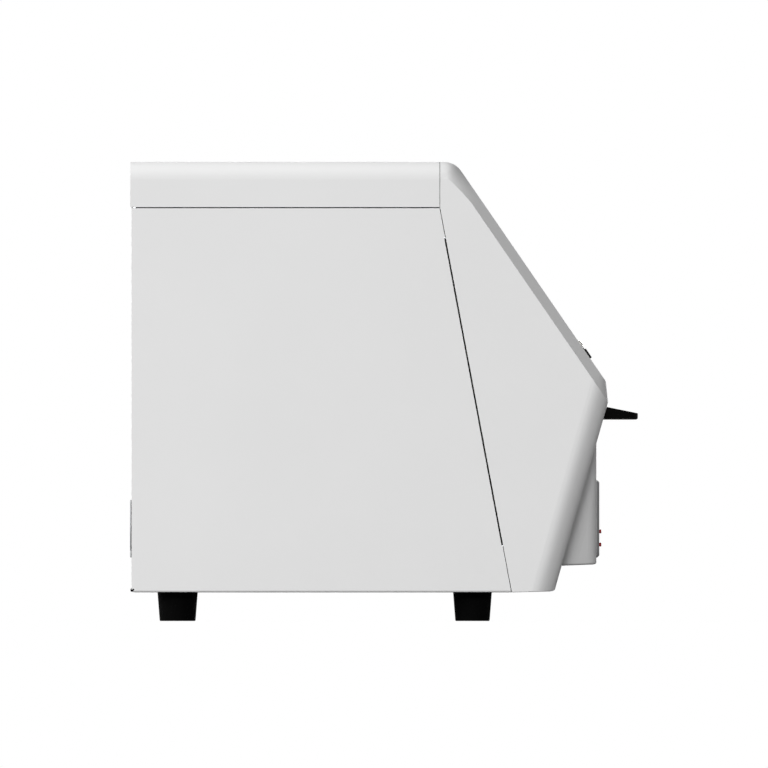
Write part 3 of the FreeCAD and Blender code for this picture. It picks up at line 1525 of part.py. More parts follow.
def power_inlet():
    outside = -INLET_PROUD - PAST
    flange_wide = 17.0
    flange_tall = 25.0
    flange_corner = 3.0
    sides = (INLET_SIDE - flange_wide, INLET_SIDE + flange_wide)
    heights = (FAN_HEIGHT - flange_tall, FAN_HEIGHT + flange_tall)
    flange = rounded_plate(*sides, *heights, flange_corner, -INLET_PROUD, 0.0)

    socket_low = FAN_HEIGHT - 18.5
    shoulder = socket_low + 11.0
    socket_high = socket_low + 16.5
    wide = 12.2
    narrow = 7.5
    low_round = 2.0
    high_round = 1.0
    socket_deep = 16.0
    outline = [
        (INLET_SIDE - wide, socket_low, low_round),
        (INLET_SIDE + wide, socket_low, low_round),
        (INLET_SIDE + wide, shoulder, high_round),
        (INLET_SIDE + narrow, socket_high, high_round),
        (INLET_SIDE - narrow, socket_high, high_round),
        (INLET_SIDE - wide, shoulder, high_round),
    ]
    socket = plate(outline, outside, socket_deep)

    pin_half = 1.0
    pin_tall = 4.0
    pins = []
    for across, up in ((-7.0, 4.0), (0.0, 8.5), (7.0, 4.0)):
        x = INLET_SIDE + across
        z = socket_low + up
        pins.append(block(x - pin_half, x + pin_half, PIN_TIP, socket_deep + PAST, z, z + pin_tall))

    fuse_wide = 11.0
    fuse_low = FAN_HEIGHT + 5.0
    fuse_tall = 12.0
    fuse_corner = 1.0
    fuse_sink = 0.6
    fuse_flat = (INLET_SIDE - fuse_wide, INLET_SIDE + fuse_wide, fuse_low, fuse_low + fuse_tall)
    fuse_drawer = rounded_plate(*fuse_flat, fuse_corner, outside, fuse_sink - INLET_PROUD)
    return merge([merge([flange, inlet_body(0)]).cut(socket)] + pins).cut(fuse_drawer)


def power_supply():
    top = PAN_TOP + 38.0
    groove_deep = 1.5
    grooves = 10
    groove_pitch = 9.0
    groove_wide = 4.0
    first = -102.0
    cuts = []
    for number in range(grooves):
        x = first + groove_pitch * number
        cuts.append(block(x, x + groove_wide, 180.0, 260.0, top - groove_deep, top + PAST))
    return block(-112.0, -12.0, 170.0, 300.0, PAN_TOP, top).cut(Part.makeCompound(cuts))


def heat_sink():
    left = 20.0
    right = 110.0
    depths = (170.0, 300.0)
    fins = 9
    fin_thick = 2.0
    pieces = [block(left, right, *depths, SINK_TOP - SINK_PLATE, SINK_TOP)]
    for number in range(fins):
        x = left + (right - left - fin_thick) * number / (fins - 1)
        pieces.append(block(x, x + fin_thick, *depths, PAN_TOP, SINK_TOP - SINK_PLATE))
    return merge(pieces)


def solid_state_relays():
    left = 42.0
    right = 88.0
    long = 58.0
    high = 24.0
    relays = [block(left, right, depth, depth + long, SINK_TOP, SINK_TOP + high) for depth in (174.0, 238.0)]
    return Part.makeCompound(relays)


def thermocouples():
    outside = CASING_HALF + 12.0
    tip = 140.0
    return Part.makeCompound(probe_bars(PROBE_RADIUS, -outside, -tip))


def tube(points, radius):
    """A round lead through a hand-picked route: straight runs with an arc at each turn."""
    turn_share = 0.45
    edges = []
    start = points[0]
    for before, here, after in zip(points, points[1:], points[2:]):
        back = before - here
        ahead = after - here
        run = turn_share * min(back.Length, ahead.Length)
        enter = here + back.normalize() * run
        leave = here + ahead.normalize() * run
        half = back.getAngle(ahead) / 2
        bend = run * math.tan(half)
        inwards = (back + ahead).normalize()
        crown = here + inwards * (bend / math.sin(half) - bend)
        edges.append(Part.LineSegment(start, enter).toShape())
        edges.append(Part.Arc(enter, crown, leave).toShape())
        start = leave
    edges.append(Part.LineSegment(start, points[-1]).toShape())
    path = Part.Wire(edges)
    heading = (points[1] - points[0]).normalize()
    section = Part.Wire(Part.makeCircle(radius, points[0], heading))
    return path.makePipeShell([section], True, False)


def wiring():
    mains_lead = 1.6
    control_lead = 3.0
    routes = [
        [
            spot(INLET_SIDE + x, INLET_BACK, 84.0),
            spot(INLET_SIDE + x, 60.0, 84.0),
            spot(INLET_SIDE - 4 + x, 105.0, 70.0),
            spot(INLET_SIDE - 14 + x / 2, 155.0, 60.0),
            spot(146.0, 192.0 + 2 * x, 60.0),
            spot(112.0, 200.0 + 2 * x, 62.0),
            spot(88.0, 200.0 + 2 * x, 62.0),
        ]
        for x in (-6.0, 6.0)
    ]
    lower_heater = HEATER_DEPTHS[1]
    routes.append(
        [
            spot(88.0, 256.0, 62.0),
            spot(120.0, 256.0, 62.0),
            spot(168.0, 250.0, 57.0),
            spot(214.0, 240.0, 72.0),
            spot(246.0, lower_heater + 2, 104.0),
            spot(256.0, lower_heater, 130.0),
            spot(250.0, lower_heater, HEATER_HEIGHTS[0]),
            spot(HEATER_HALF, lower_heater, HEATER_HEIGHTS[0]),
        ]
    )
    upper_heater = HEATER_DEPTHS[2]
    routes.append(
        [
            spot(88.0, 282.0, 62.0),
            spot(120.0, 282.0, 62.0),
            spot(168.0, 286.0, 58.0),
            spot(222.0, 288.0, 74.0),
            spot(252.0, upper_heater + 2, 120.0),
            spot(250.0, upper_heater, 215.0),
            spot(258.0, upper_heater, 300.0),
            spot(254.0, upper_heater, HEATER_HEIGHTS[1]),
            spot(HEATER_HALF, upper_heater, HEATER_HEIGHTS[1]),
        ]
    )
    control = [
        spot(-40.0, BOARD_BACK - CONNECTOR_DEEP, 78.0),
        spot(-40.0, 424.0, 78.0),
        spot(-44.0, 392.0, 70.0),
        spot(-50.0, 358.0, 64.0),
        spot(-60.0, 328.0, 50.0),
        spot(-60.0, 300.0, 50.0),
    ]
    leads = [tube(route, mains_lead) for route in routes]
    leads.append(tube(control, control_lead))
    return Part.makeCompound(leads)


PIECES = [
    base_pan,
    rear_panel,
    side_panel_left,
    side_panel_right,
    top_cover,
    side_frames,
    front_shell,
    rubber_feet,
    fixing_screws,
    chamber_floor,
    chamber_front_wall,
    chamber_window_wall,
    chamber_roof,
    chamber_rear_wall,
    chamber_wall_left,
    chamber_wall_right,
    chamber_insulation,
    chamber_casing,
    mouth_frame,
    chamber_stands,
    heater_tubes,
    heater_sockets,
    air_baffle,
    blower_motor,
    blower_shaft,
    blower_wheel,
    window_glass,
    window_retainer,
    window_tunnel,
    inner_glass,
    switch_body,
    switch_rocker,
    pilot_lamp,
    control_plate,
    display_lens,
    display_module,
    control_board,
    indicator_leds,
    drawer_front,
    drawer_back_plate,
    drawer_plug,
    drawer_gasket,
    drawer_rack,
    drawer_handle,
    slide_fixed_rails,
    slide_middle_rails,
    slide_inner_rails,
    fan_frame,
    fan_rotor,
    fan_guard,
    power_inlet,
    power_supply,
    heat_sink,
    solid_state_relays,
    thermocouples,
    wiring,
]


def main():
    os.makedirs("parts", exist_ok=True)
    shapes = {make.__name__: make() for make in PIECES}
    for name, (x, z) in KEY_SPOTS.items():
        shapes[f"key_{name}"] = push_key(x, z)
    for name, shape in shapes.items():
        sound = "" if shape.isValid() else "  not valid"
        print(f"{name}: {len(shape.Solids)} solids, {shape.Volume / 1000:.2f} cm3{sound}")
        shape.exportStep(f"parts/{name}.step")


if __name__ == "__main__":
    main()
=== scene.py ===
import math

import bmesh
import bpy
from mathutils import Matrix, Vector


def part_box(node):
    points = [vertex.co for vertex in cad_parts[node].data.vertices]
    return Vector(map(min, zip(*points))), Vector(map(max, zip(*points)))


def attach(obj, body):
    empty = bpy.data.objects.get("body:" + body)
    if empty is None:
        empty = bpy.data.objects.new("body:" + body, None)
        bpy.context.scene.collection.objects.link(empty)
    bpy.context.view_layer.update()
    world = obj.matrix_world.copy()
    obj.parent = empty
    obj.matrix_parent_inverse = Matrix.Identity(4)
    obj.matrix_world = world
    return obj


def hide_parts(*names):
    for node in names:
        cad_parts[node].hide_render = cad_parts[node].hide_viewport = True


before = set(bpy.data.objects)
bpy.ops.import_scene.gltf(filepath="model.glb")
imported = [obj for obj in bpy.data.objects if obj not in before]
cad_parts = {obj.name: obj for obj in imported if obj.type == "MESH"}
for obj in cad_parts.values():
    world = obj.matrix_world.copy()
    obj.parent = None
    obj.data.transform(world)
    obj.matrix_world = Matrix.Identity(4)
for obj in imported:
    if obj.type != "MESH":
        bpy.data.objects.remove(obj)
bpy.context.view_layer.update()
bpy.context.scene.view_settings.view_transform = "Standard"


# Painted sheet panels
# Folded steel sheet, 1.5 mm thick, powder coated light grey all over. The base pan carries the rear panel,
# the cover, whose long edges are rolled to an 18 mm rounding, and the two flat sides. The coat carries
# painted shade: a darker band along the bottom edge, a thin dark line along the seam to the cover, and
# a dark slanting mark in each rear lower corner of the sides that stands for the shade in a relief cut.

class Field:
    """One output of a shader node. Arithmetic on it adds Math nodes to the same material."""

    def __init__(self, tree, socket=None):
        self.tree = tree
        self.socket = socket

    def node(self, kind, settings=None, sockets=None, output=0):
        """Adds a node: its type, its settings, then a value or a link for each socket."""
        made = self.tree.nodes.new("ShaderNode" + kind)
        for name, value in (settings or {}).items():
            setattr(made, name, value)
        for key, value in (sockets or {}).items():
            self.give(made.inputs[key], value)
        return Field(self.tree, made.outputs[output])

    def give(self, socket, value):
        """Links a field to a socket, or sets a plain value on it."""
        if isinstance(value, Field):
            self.tree.links.new(value.socket, socket)
        else:
            socket.default_value = value

    def math(self, operation, *values):
        return self.node("Math", {"operation": operation}, dict(enumerate(values)))

    def __add__(self, other):
        return self.math("ADD", self, other)

    def __sub__(self, other):
        return self.math("SUBTRACT", self, other)

    def __rsub__(self, other):
        return self.math("SUBTRACT", other, self)

    def __mul__(self, other):
        return self.math("MULTIPLY", self, other)

    def __truediv__(self, other):
        return self.math("DIVIDE", self, other)

    def __gt__(self, other):
        return self.math("GREATER_THAN", self, other)

    __radd__ = __add__
    __rmul__ = __mul__

    def clamp(self):
        return self.node("Clamp", {}, {"Value": self})

    def size(self):
        """The value without its sign."""
        return self.math("ABSOLUTE", self)

    def mix(self, first, second):
        """One colour where the field is 0 and the other where it is 1."""
        return self.node("Mix", {"data_type": "RGBA"}, {0: self, 6: first, 7: second}, 2)

    def stretched(self, scale):
        """The place on a piece, with each axis scaled by its own amount."""
        return self.node("VectorMath", {"operation": "MULTIPLY"}, {0: self, 1: scale})

    def axis(self, name):
        """One coordinate of a place."""
        return self.node("SeparateXYZ", {}, {0: self}, name)

    def noise(self, scale, detail, roughness=0.5):
        sockets = {"Vector": self, "Scale": scale, "Detail": detail, "Roughness": roughness}
        return self.node("TexNoise", {}, sockets)

    def cells(self, scale):
        """A value from 0 to 1 that is constant over each cell of a broken pattern."""
        shades = self.node("TexVoronoi", {}, {"Vector": self, "Scale": scale}, "Color")
        return self.node("SeparateColor", {}, {0: shades})

    def bump(self, distance, strength):
        """A surface normal from a height field, distance metres deep."""
        return self.node("Bump", {}, {"Strength": strength, "Distance": distance, "Height": self})


def tone(red, green, blue):
    """A shader colour from screen values of 0 to 255."""
    def linear(level):
        share = level / 255
        return share / 12.92 if share <= 0.04045 else ((share + 0.055) / 1.055) ** 2.4
    return (linear(red), linear(green), linear(blue), 1.0)


def new_finish(name):
    """An empty material, its shader, and the place on the piece in metres, as a field."""
    material = bpy.data.materials.new(name)
    material.use_nodes = True
    tree = material.node_tree
    place = Field(tree).node("TexCoord", output="Object")
    return material, tree.nodes["Principled BSDF"], place


def feed(shader, sockets):
    """Links or sets sockets of a shader."""
    for name, value in sockets.items():
        Field(shader.id_data).give(shader.inputs[name], value)


def dress(material, *names):
    """Gives a material to pieces of the solid model."""
    for name in names:
        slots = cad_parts[name].data.materials
        slots.clear()
        slots.append(material)


panel_paint, shader, place = new_finish("panel_paint")
orange_peel = place.noise(620.0, 3.0)
coat_drift = place.noise(7.0, 3.0).mix(tone(221, 221, 221), tone(217, 217, 217))
# Painted shade: a band 1.7 mm high along the bottom edge of the panels is darkened.
lower_edge = 0.0292
bottom_shade_high = 0.0017
bottom_shade_share = 0.8
bottom_shade = ((lower_edge + bottom_shade_high - place.axis("Z")) / bottom_shade_high).clamp()
# Painted shade: a thin dark line along the seam between the panels and the cover.
cover_seam_height = 0.413
seam_reach = 0.00075
seam_fade = 0.0002
from_seam = (place.axis("Z") - cover_seam_height).size()
painted_seam_shade = ((seam_reach - from_seam) / seam_fade).clamp()
edge_shade = (bottom_shade * bottom_shade_share + painted_seam_shade).clamp().mix(coat_drift, tone(140, 140, 140))
rear_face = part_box("rear_panel")[1].y
# Painted shade: a near-black slanting mark in each rear lower corner of the sides stands for the shade in a
# relief cut. The sheet is not cut there.
relief_shade_depth = 0.00085
relief_shade_height = 0.0304
relief_shade_wide = 0.0015
relief_shade_long = 0.0031
relief_shade_fade = 0.0002
outer_side = 0.2795
past_relief_shade = (rear_face - relief_shade_depth) - place.axis("Y")
over_relief_shade = place.axis("Z") - relief_shade_height
across_relief_shade = ((relief_shade_wide - (past_relief_shade - over_relief_shade).size()) / relief_shade_fade).clamp()
along_relief_shade = ((relief_shade_long - (past_relief_shade + over_relief_shade).size()) / relief_shade_fade).clamp()
on_side = place.axis("X").size() > outer_side
feed(shader, {
    "Base Color": (across_relief_shade * along_relief_shade * on_side).mix(edge_shade, tone(14, 14, 14)),
    "Roughness": 0.56 + 0.08 * place.noise(45.0, 4.0),
    "Normal": orange_peel.bump(0.00005, 0.3),
    "Specular IOR Level": 0.22,
})
dress(panel_paint, "base_pan", "rear_panel", "side_panel_left", "side_panel_right", "top_cover")


# Rubber feet
# Four black moulded rubber cones that narrow towards the bench. Each is hollow below and is held by one
# screw from underneath, through the base pan.

foot_rubber, shader, place = new_finish("foot_rubber")
moulding_grain = place.noise(900.0, 4.0, 0.65)
scuff_onset = 0.62
scuff_gain = 3.0
bench_fade = 60.0
near_bench = (1 - place.axis("Z") * bench_fade).clamp()
scuff = (place.noise(160.0, 5.0, 0.7) - scuff_onset).clamp() * near_bench
clean_rubber = (0.0012, 0.0012, 0.0012, 1.0)
scuffed_rubber = (0.008, 0.008, 0.008, 1.0)
feed(shader, {
    "Base Color": (scuff * scuff_gain).clamp().mix(clean_rubber, scuffed_rubber),
    "Roughness": 0.72 + 0.15 * moulding_grain,
    "Normal": moulding_grain.bump(0.00012, 0.5),
    "Specular IOR Level": 0.03,
})
dress(foot_rubber, "rubber_feet")


# Inner frame and slides
# Galvanised steel sheet, folded and left unpainted. The two side frames tie panels, cover and front shell
# together, the casing wraps the insulation, and the rails are the drawer's three-part slides.

galvanised, shader, place = new_finish("galvanised")
spangle = place.cells(95.0)
spangle_grain = place.noise(800.0, 3.0)
feed(shader, {
    "Base Color": spangle.mix(tone(168, 171, 174), tone(196, 198, 200)),
    "Metallic": 1.0,
    "Roughness": 0.3 + 0.16 * spangle + 0.06 * spangle_grain,
    "Normal": spangle_grain.bump(0.00002, 0.4),
})
dress(galvanised, "side_frames", "chamber_casing", "chamber_stands")

rail_zinc, shader, place = new_finish("rail_zinc")
drawn_lines = place.stretched((900.0, 12.0, 900.0)).noise(1.0, 3.0)
feed(shader, {
    "Base Color": drawn_lines.mix(tone(176, 178, 182), tone(208, 210, 213)),
    "Metallic": 1.0,
    "Roughness": 0.24 + 0.14 * drawn_lines,
    "Normal": drawn_lines.bump(0.00002, 0.35),
})
dress(rail_zinc, "slide_fixed_rails", "slide_middle_rails", "slide_inner_rails")


# Chamber liner
# Seven brushed stainless sheets that make the heated space, the sleeve of the drawer's mouth, and the
# slotted air baffle before the rear wall. Heat has left a faint straw tint on them.

liner_steel, shader, place = new_finish("liner_steel")
brushing = place.stretched((9.0, 1100.0, 1100.0)).noise(1.0, 4.0)
tint_onset = 0.42
tint_gain = 2.2
heat_tint = (place.noise(11.0, 3.0, 0.55) - tint_onset).clamp() * tint_gain
feed(shader, {
    "Base Color": heat_tint.clamp().mix(tone(190, 190, 188), tone(180, 162, 128)),
    "Metallic": 1.0,
    "Roughness": 0.26 + 0.16 * brushing,
    "Normal": brushing.bump(0.00002, 0.4),
})
dress(
    liner_steel, "chamber_floor", "chamber_front_wall", "chamber_window_wall", "chamber_roof",
    "chamber_rear_wall", "chamber_wall_left", "chamber_wall_right", "mouth_frame", "air_baffle",
    "drawer_plug", "drawer_back_plate",
)


# Insulation
# Slabs of white ceramic wool, 30 mm thick, pressed between liner and casing. Their fibres lie in the plane
# of the slab, and they are cut with a knife.

ceramic_wool, shader, place = new_finish("ceramic_wool")
fibres = place.stretched((120.0, 900.0, 900.0)).noise(1.0, 5.0, 0.7)
feed(shader, {
    "Base Color": fibres.mix(tone(214, 210, 198), tone(246, 244, 238)),
    "Roughness": 0.95,
    "Normal": fibres.bump(0.0006, 0.7),
    "Specular IOR Level": 0.1,
})
dress(ceramic_wool, "chamber_insulation")


# Heaters
# Eight milky quartz tubes with a wound wire showing faintly through the wall, four below and four above the
# rack. Each end sits in a glazed ceramic socket on the casing.

milky_quartz, shader, place = new_finish("milky_quartz")
coil_pitch = 0.0032
coil_turn = place.axis("X") * (2 * math.pi / coil_pitch)
wire_shade = (coil_turn.math("SINE", coil_turn) * 0.5 + 0.1).clamp()
quartz_haze = 0.55 + 0.3 * place.noise(60.0, 2.0)
coil_shadow = wire_shade * quartz_haze
feed(shader, {
    "Base Color": coil_shadow.mix(tone(232, 229, 223), tone(150, 128, 112)),
    "Roughness": 0.16 + 0.12 * place.noise(140.0, 3.0),
    "Coat Weight": 0.6,
    "Coat Roughness": 0.05,
})
dress(milky_quartz, "heater_tubes")

socket_ceramic, shader, place = new_finish("socket_ceramic")
fired_grain = place.noise(700.0, 4.0)
feed(shader, {
    "Base Color": fired_grain.mix(tone(226, 221, 208), tone(240, 237, 228)),
    "Roughness": 0.55 + 0.2 * fired_grain,
    "Normal": fired_grain.bump(0.00008, 0.5),
})
dress(socket_ceramic, "heater_sockets")


# Hot-air blower
# A can motor behind the chamber turns a twelve-blade pressed wheel inside it, on a steel shaft. The motor is
# enamelled grey, the wheel is blackened by heat.

motor_enamel, shader, place = new_finish("motor_enamel")
hammer = place.cells(260.0)
feed(shader, {
    "Base Color": hammer.mix(tone(120, 122, 125), tone(136, 138, 141)),
    "Roughness": 0.36 + 0.14 * hammer,
    "Normal": place.noise(420.0, 3.0).bump(0.00012, 0.5),
})
dress(motor_enamel, "blower_motor")

wheel_steel, shader, place = new_finish("wheel_steel")
scale_patches = place.noise(55.0, 5.0, 0.6)
feed(shader, {
    "Base Color": scale_patches.mix(tone(112, 104, 96), tone(158, 152, 142)),
    "Metallic": 1.0,
    "Roughness": 0.34 + 0.24 * scale_patches,
})
dress(wheel_steel, "blower_wheel")

bright_steel, shader, place = new_finish("bright_steel")
turning = place.stretched((700.0, 40.0, 700.0)).noise(1.0, 3.0)
feed(shader, {
    "Base Color": turning.mix(tone(178, 178, 176), tone(206, 205, 202)),
    "Metallic": 1.0,
    "Roughness": 0.22 + 0.16 * turning,
    "Normal": turning.bump(0.00001, 0.4),
})
dress(bright_steel, "blower_shaft", "thermocouples", "fixing_screws")


# Electronics on the base pan
# A boxed supply with a grooved lid, an aluminium heat sink with two black relays on it, and the leads
# between them, the inlet, the heaters and the control board.

extruded_alloy, shader, place = new_finish("extruded_alloy")
die_lines = place.stretched((900.0, 15.0, 900.0)).noise(1.0, 3.0)
feed(shader, {
    "Base Color": die_lines.mix(tone(182, 184, 187), tone(204, 206, 208)),
    "Metallic": 1.0,
    "Roughness": 0.32 + 0.15 * die_lines,
    "Normal": die_lines.bump(0.00002, 0.3),
})
dress(extruded_alloy, "power_supply", "heat_sink")

lead_sleeve, shader, place = new_finish("lead_sleeve")
sleeve_sheen = place.noise(300.0, 3.0)
feed(shader, {
    "Base Color": sleeve_sheen.mix(tone(24, 24, 25), tone(34, 34, 35)),
    "Roughness": 0.42 + 0.2 * sleeve_sheen,
    "Specular IOR Level": 0.3,
})
dress(lead_sleeve, "wiring")

green_mask, shader, place = new_finish("green_mask")
copper_onset = 0.62
copper = place.stretched((1.0, 0.0, 1.0)).cells(330.0) > copper_onset
feed(shader, {
    "Base Color": copper.mix(tone(14, 78, 40), tone(24, 104, 54)),
    "Roughness": 0.3 + 0.12 * copper,
})
dress(green_mask, "control_board", "display_module")


# Cooling fan
# A 60 mm fan of black moulded plastic behind the rear panel: a square frame, a rotor of seven twisted
# blades round a hub, and a guard of dull plated wire rings held by the fan's own four screws.

black_plastic, shader, place = new_finish("black_plastic")
moulded_grain = place.noise(1300.0, 3.0, 0.6)
deep_black = (0.0012, 0.0012, 0.0013, 1.0)
soft_black = (0.0024, 0.0024, 0.0025, 1.0)
feed(shader, {
    "Base Color": place.noise(30.0, 3.0).mix(deep_black, soft_black),
    "Roughness": 0.42 + 0.14 * moulded_grain,
    "Normal": moulded_grain.bump(0.00006, 0.4),
    "Specular IOR Level": 0.08,
})
dress(black_plastic, "fan_frame", "power_inlet", "solid_state_relays")

guard_plating, shader, place = new_finish("guard_plating")
wire_haze = place.noise(420.0, 4.0)
feed(shader, {
    "Base Color": wire_haze.mix(tone(118, 119, 121), tone(140, 141, 143)),
    "Metallic": 1.0,
    "Roughness": 0.46 + 0.14 * wire_haze,
    "Normal": wire_haze.bump(0.00003, 0.4),
})
dress(guard_plating, "fan_guard")


def add_piece(name, form, material, body):
    """Turns a bmesh into a named piece that rides on a body."""
    sharp_edge = math.radians(35.0)
    bmesh.ops.recalc_face_normals(form, faces=form.faces)
    mesh = bpy.data.meshes.new(name)
    form.to_mesh(mesh)
    form.free()
    mesh.materials.append(material)
    mesh.shade_smooth()
    mesh.set_sharp_from_angle(angle=sharp_edge)
    piece = bpy.data.objects.new(name, mesh)
    bpy.context.scene.collection.objects.link(piece)
    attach(piece, body)
    return piece


def skin(form, rings):
    """Joins rings of points by faces, from each ring to the next."""
    rows = [[form.verts.new(point) for point in ring] for ring in rings]
    for before, after in zip(rows, rows[1:]):
        count = len(before)
        for index in range(count):
            beside = (index + 1) % count
            form.faces.new((before[index], before[beside], after[beside], after[index]))
    return rows


def closed_skin(form, rings):
    """Joins rings of points by faces and closes the first and the last ring."""
    rows = skin(form, rings)
    form.faces.new(rows[0])
    form.faces.new(rows[-1])


def circle(radius, count):
    """Points of a circle about (0, 0)."""
    angles = [2 * math.pi * step / count for step in range(count)]
    return [(radius * math.cos(angle), radius * math.sin(angle)) for angle in angles]


def turned(profile, put, count):
    """Rings of a profile of (radius, along) turned about an axis. put(u, v, along) places a point."""
    return [[put(u, v, along) for u, v in circle(radius, count)] for radius, along in profile]


def lathe(form, profile, put, count=40):
    """Adds a turned profile with both ends closed."""
    closed_skin(form, turned(profile, put, count))


rotor_low, rotor_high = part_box("fan_rotor")
fan_x = (rotor_low.x + rotor_high.x) / 2
fan_z = (rotor_low.z + rotor_high.z) / 2
hub_radius = 0.011
hub_rear = 0.004
hub_front = 0.0225
hub_flat = hub_radius - 0.003
hub_shoulder = hub_radius - 0.0008
hub_wall = hub_radius - 0.0012
shoulder_depth = hub_rear + 0.0005
side_depth = hub_rear + 0.0018
axle_radius = 0.0015
blade_count = 7
blade_root = hub_radius - 0.001
blade_tip = 0.0269
blade_rows = 9
chord_rows = 8
blade_half_thick = 0.00055
edge_thinning = 0.7
root_pitch = 50.0
pitch_fall = 20.0
root_chord = 0.0125
chord_growth = 0.0035
camber_high = 0.0016
blade_sweep = 0.35


def behind_fan(u, v, depth):
    """A point about the fan's axis, at a depth inside the rear panel."""
    return Vector((fan_x + u, rear_face - depth, fan_z + v))


def blade_point(number, span, chord, side):
    """A point on one face of a blade: span and chord run from 0 to 1, side is -1 or 1."""
    radius = blade_root + (blade_tip - blade_root) * span
    pitch = math.radians(root_pitch - pitch_fall * span)
    across = (chord - 0.5) * (root_chord + chord_growth * span)
    camber = camber_high * (1 - (2 * chord - 1) ** 2)
    around = across * math.cos(pitch) + camber * math.sin(pitch)
    along = across * math.sin(pitch) - camber * math.cos(pitch)
    thick = blade_half_thick * side * (1 - edge_thinning * abs(2 * chord - 1))
    angle = 2 * math.pi * number / blade_count + blade_sweep * span
    angle += (around + thick * math.sin(pitch)) / radius
    depth = (hub_rear + hub_front) / 2 + along - thick * math.cos(pitch)
    return behind_fan(radius * math.cos(angle), radius * math.sin(angle), depth)


form = bmesh.new()
lathe(form, [
    (hub_flat, hub_rear),
    (hub_shoulder, shoulder_depth),
    (hub_radius, side_depth),
    (hub_radius, hub_front),
    (hub_wall, hub_front),
    (axle_radius, hub_front),
    (axle_radius, rear_face - rotor_low.y),
], behind_fan)
chords = [step / (chord_rows - 1) for step in range(chord_rows)]
for number in range(blade_count):
    rings = []
    for row in range(blade_rows):
        span = row / (blade_rows - 1)
        ring = [blade_point(number, span, chord, 1) for chord in chords]
        ring += [blade_point(number, span, chord, -1) for chord in reversed(chords)]
        rings.append(ring)
    closed_skin(form, rings)
rotor = add_piece("fan_rotor_moulded", form, black_plastic, "cooling_rotor")
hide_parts("fan_rotor")


# Mains inlet
# A black panel inlet clipped into the rear panel, with three nickel-plated blades in its socket and a fuse
# drawer above it, which has a small lip for a screwdriver.

pin_nickel, shader, place = new_finish("pin_nickel")
plating = place.noise(260.0, 3.0)
feed(shader, {
    "Base Color": plating.mix(tone(198, 193, 178), tone(216, 212, 200)),
    "Metallic": 1.0,
    "Roughness": 0.2 + 0.12 * plating,
})
inlet_x = 0.19
inlet_z = 0.0925
pin_half = 0.00106
pin_tall = 0.00412
pin_tip = 0.00345
pin_root = 0.01599
pin_corner = 0.0002
pin_chamfer = 0.0006
pin_pitch = 0.007
line_pin_low = -0.01456
earth_pin_low = -0.01006


def behind_inlet(u, v, depth):
    """A point about the inlet's middle, at a depth inside the rear panel."""
    return Vector((inlet_x + u, rear_face - depth, inlet_z + v))


def oblong(left, right, low, high, cut):
    """An oblong outline with its four corners cut off."""
    return [
        (left + cut, low), (right - cut, low), (right, low + cut), (right, high - cut),
        (right - cut, high), (left + cut, high), (left, high - cut), (left, low + cut),
    ]


def slab(form, outline, put, low, high, chamfer=0.0):
    """Carries an outline from one level to another and closes it. The high end can have a chamfer."""
    middle_u = sum(u for u, v in outline) / len(outline)
    middle_v = sum(v for u, v in outline) / len(outline)
    reach = max(math.hypot(u - middle_u, v - middle_v) for u, v in outline)
    keep = 1 - chamfer / reach
    drawn_in = [(middle_u + (u - middle_u) * keep, middle_v + (v - middle_v) * keep) for u, v in outline]
    shoulder = high - math.copysign(chamfer, high - low)
    levels = [(outline, low), (outline, shoulder)]
    if chamfer:
        levels.append((drawn_in, high))
    closed_skin(form, [[put(u, v, level) for u, v in points] for points, level in levels])


form = bmesh.new()
for across, low in ((-pin_pitch, line_pin_low), (0.0, earth_pin_low), (pin_pitch, line_pin_low)):
    outline = oblong(across - pin_half, across + pin_half, low, low + pin_tall, pin_corner)
    slab(form, outline, behind_inlet, pin_root, pin_tip, pin_chamfer)
add_piece("inlet_blades", form, pin_nickel, "housing")

fuse_floor = -0.0012
fuse_face = -0.00165
fuse_lip_face = -0.00178
fuse_outline = oblong(-0.0104, 0.0104, 0.0056, 0.0164, 0.0006)
fuse_lip_outline = oblong(-0.0035, 0.0035, 0.0058, 0.0074, 0.0003)
fuse_chamfer = 0.0003
fuse_lip_chamfer = 0.0001
form = bmesh.new()
slab(form, fuse_outline, behind_inlet, fuse_floor, fuse_face, fuse_chamfer)
slab(form, fuse_lip_outline, behind_inlet, fuse_face, fuse_lip_face, fuse_lip_chamfer)
add_piece("inlet_fuse_drawer", form, black_plastic, "housing")


# Corner plugs
# Two small black rubber plugs with domed heads, pushed into the rear lower corners where the folds of base
# pan, side and rear panel meet. They keep the corners off the bench when the oven is tipped back.

plug_x = 0.2776
plug_z = 0.0309
plug_radius = 0.0016
plug_head = 0.0011
plug_inside = 0.0024
plug_sides = 28
dome_shares = ((0.55, 1.0), (0.86, 0.8), (1.0, 0.35))
profile = [(plug_radius * wide, -plug_head * high) for wide, high in dome_shares]
profile.append((plug_radius, plug_inside))
form = bmesh.new()
for side in (-plug_x, plug_x):
    lathe(form, profile, lambda u, v, w: Vector((side + u, rear_face - w, plug_z + v)), plug_sides)
add_piece("corner_plugs", form, foot_rubber, "housing")


# Screws
# Zinc-plated steel with a cross recess. Eight sit flush in the rear panel, four hold the fan and its guard,
# and four hold the feet from below, each with a hexagon nut inside the base pan.

screw_zinc, shader, place = new_finish("screw_zinc")
zinc_haze = place.noise(480.0, 3.0)
feed(shader, {
    "Base Color": zinc_haze.mix(tone(182, 184, 186), tone(206, 207, 206)),
    "Metallic": 1.0,
    "Roughness": 0.26 + 0.16 * zinc_haze,
})
screw_radius = 0.0017
head_radius = 0.0032
screw_sides = 40
recess_arm = 0.62
recess_width = 0.2
recess_taper = 0.72


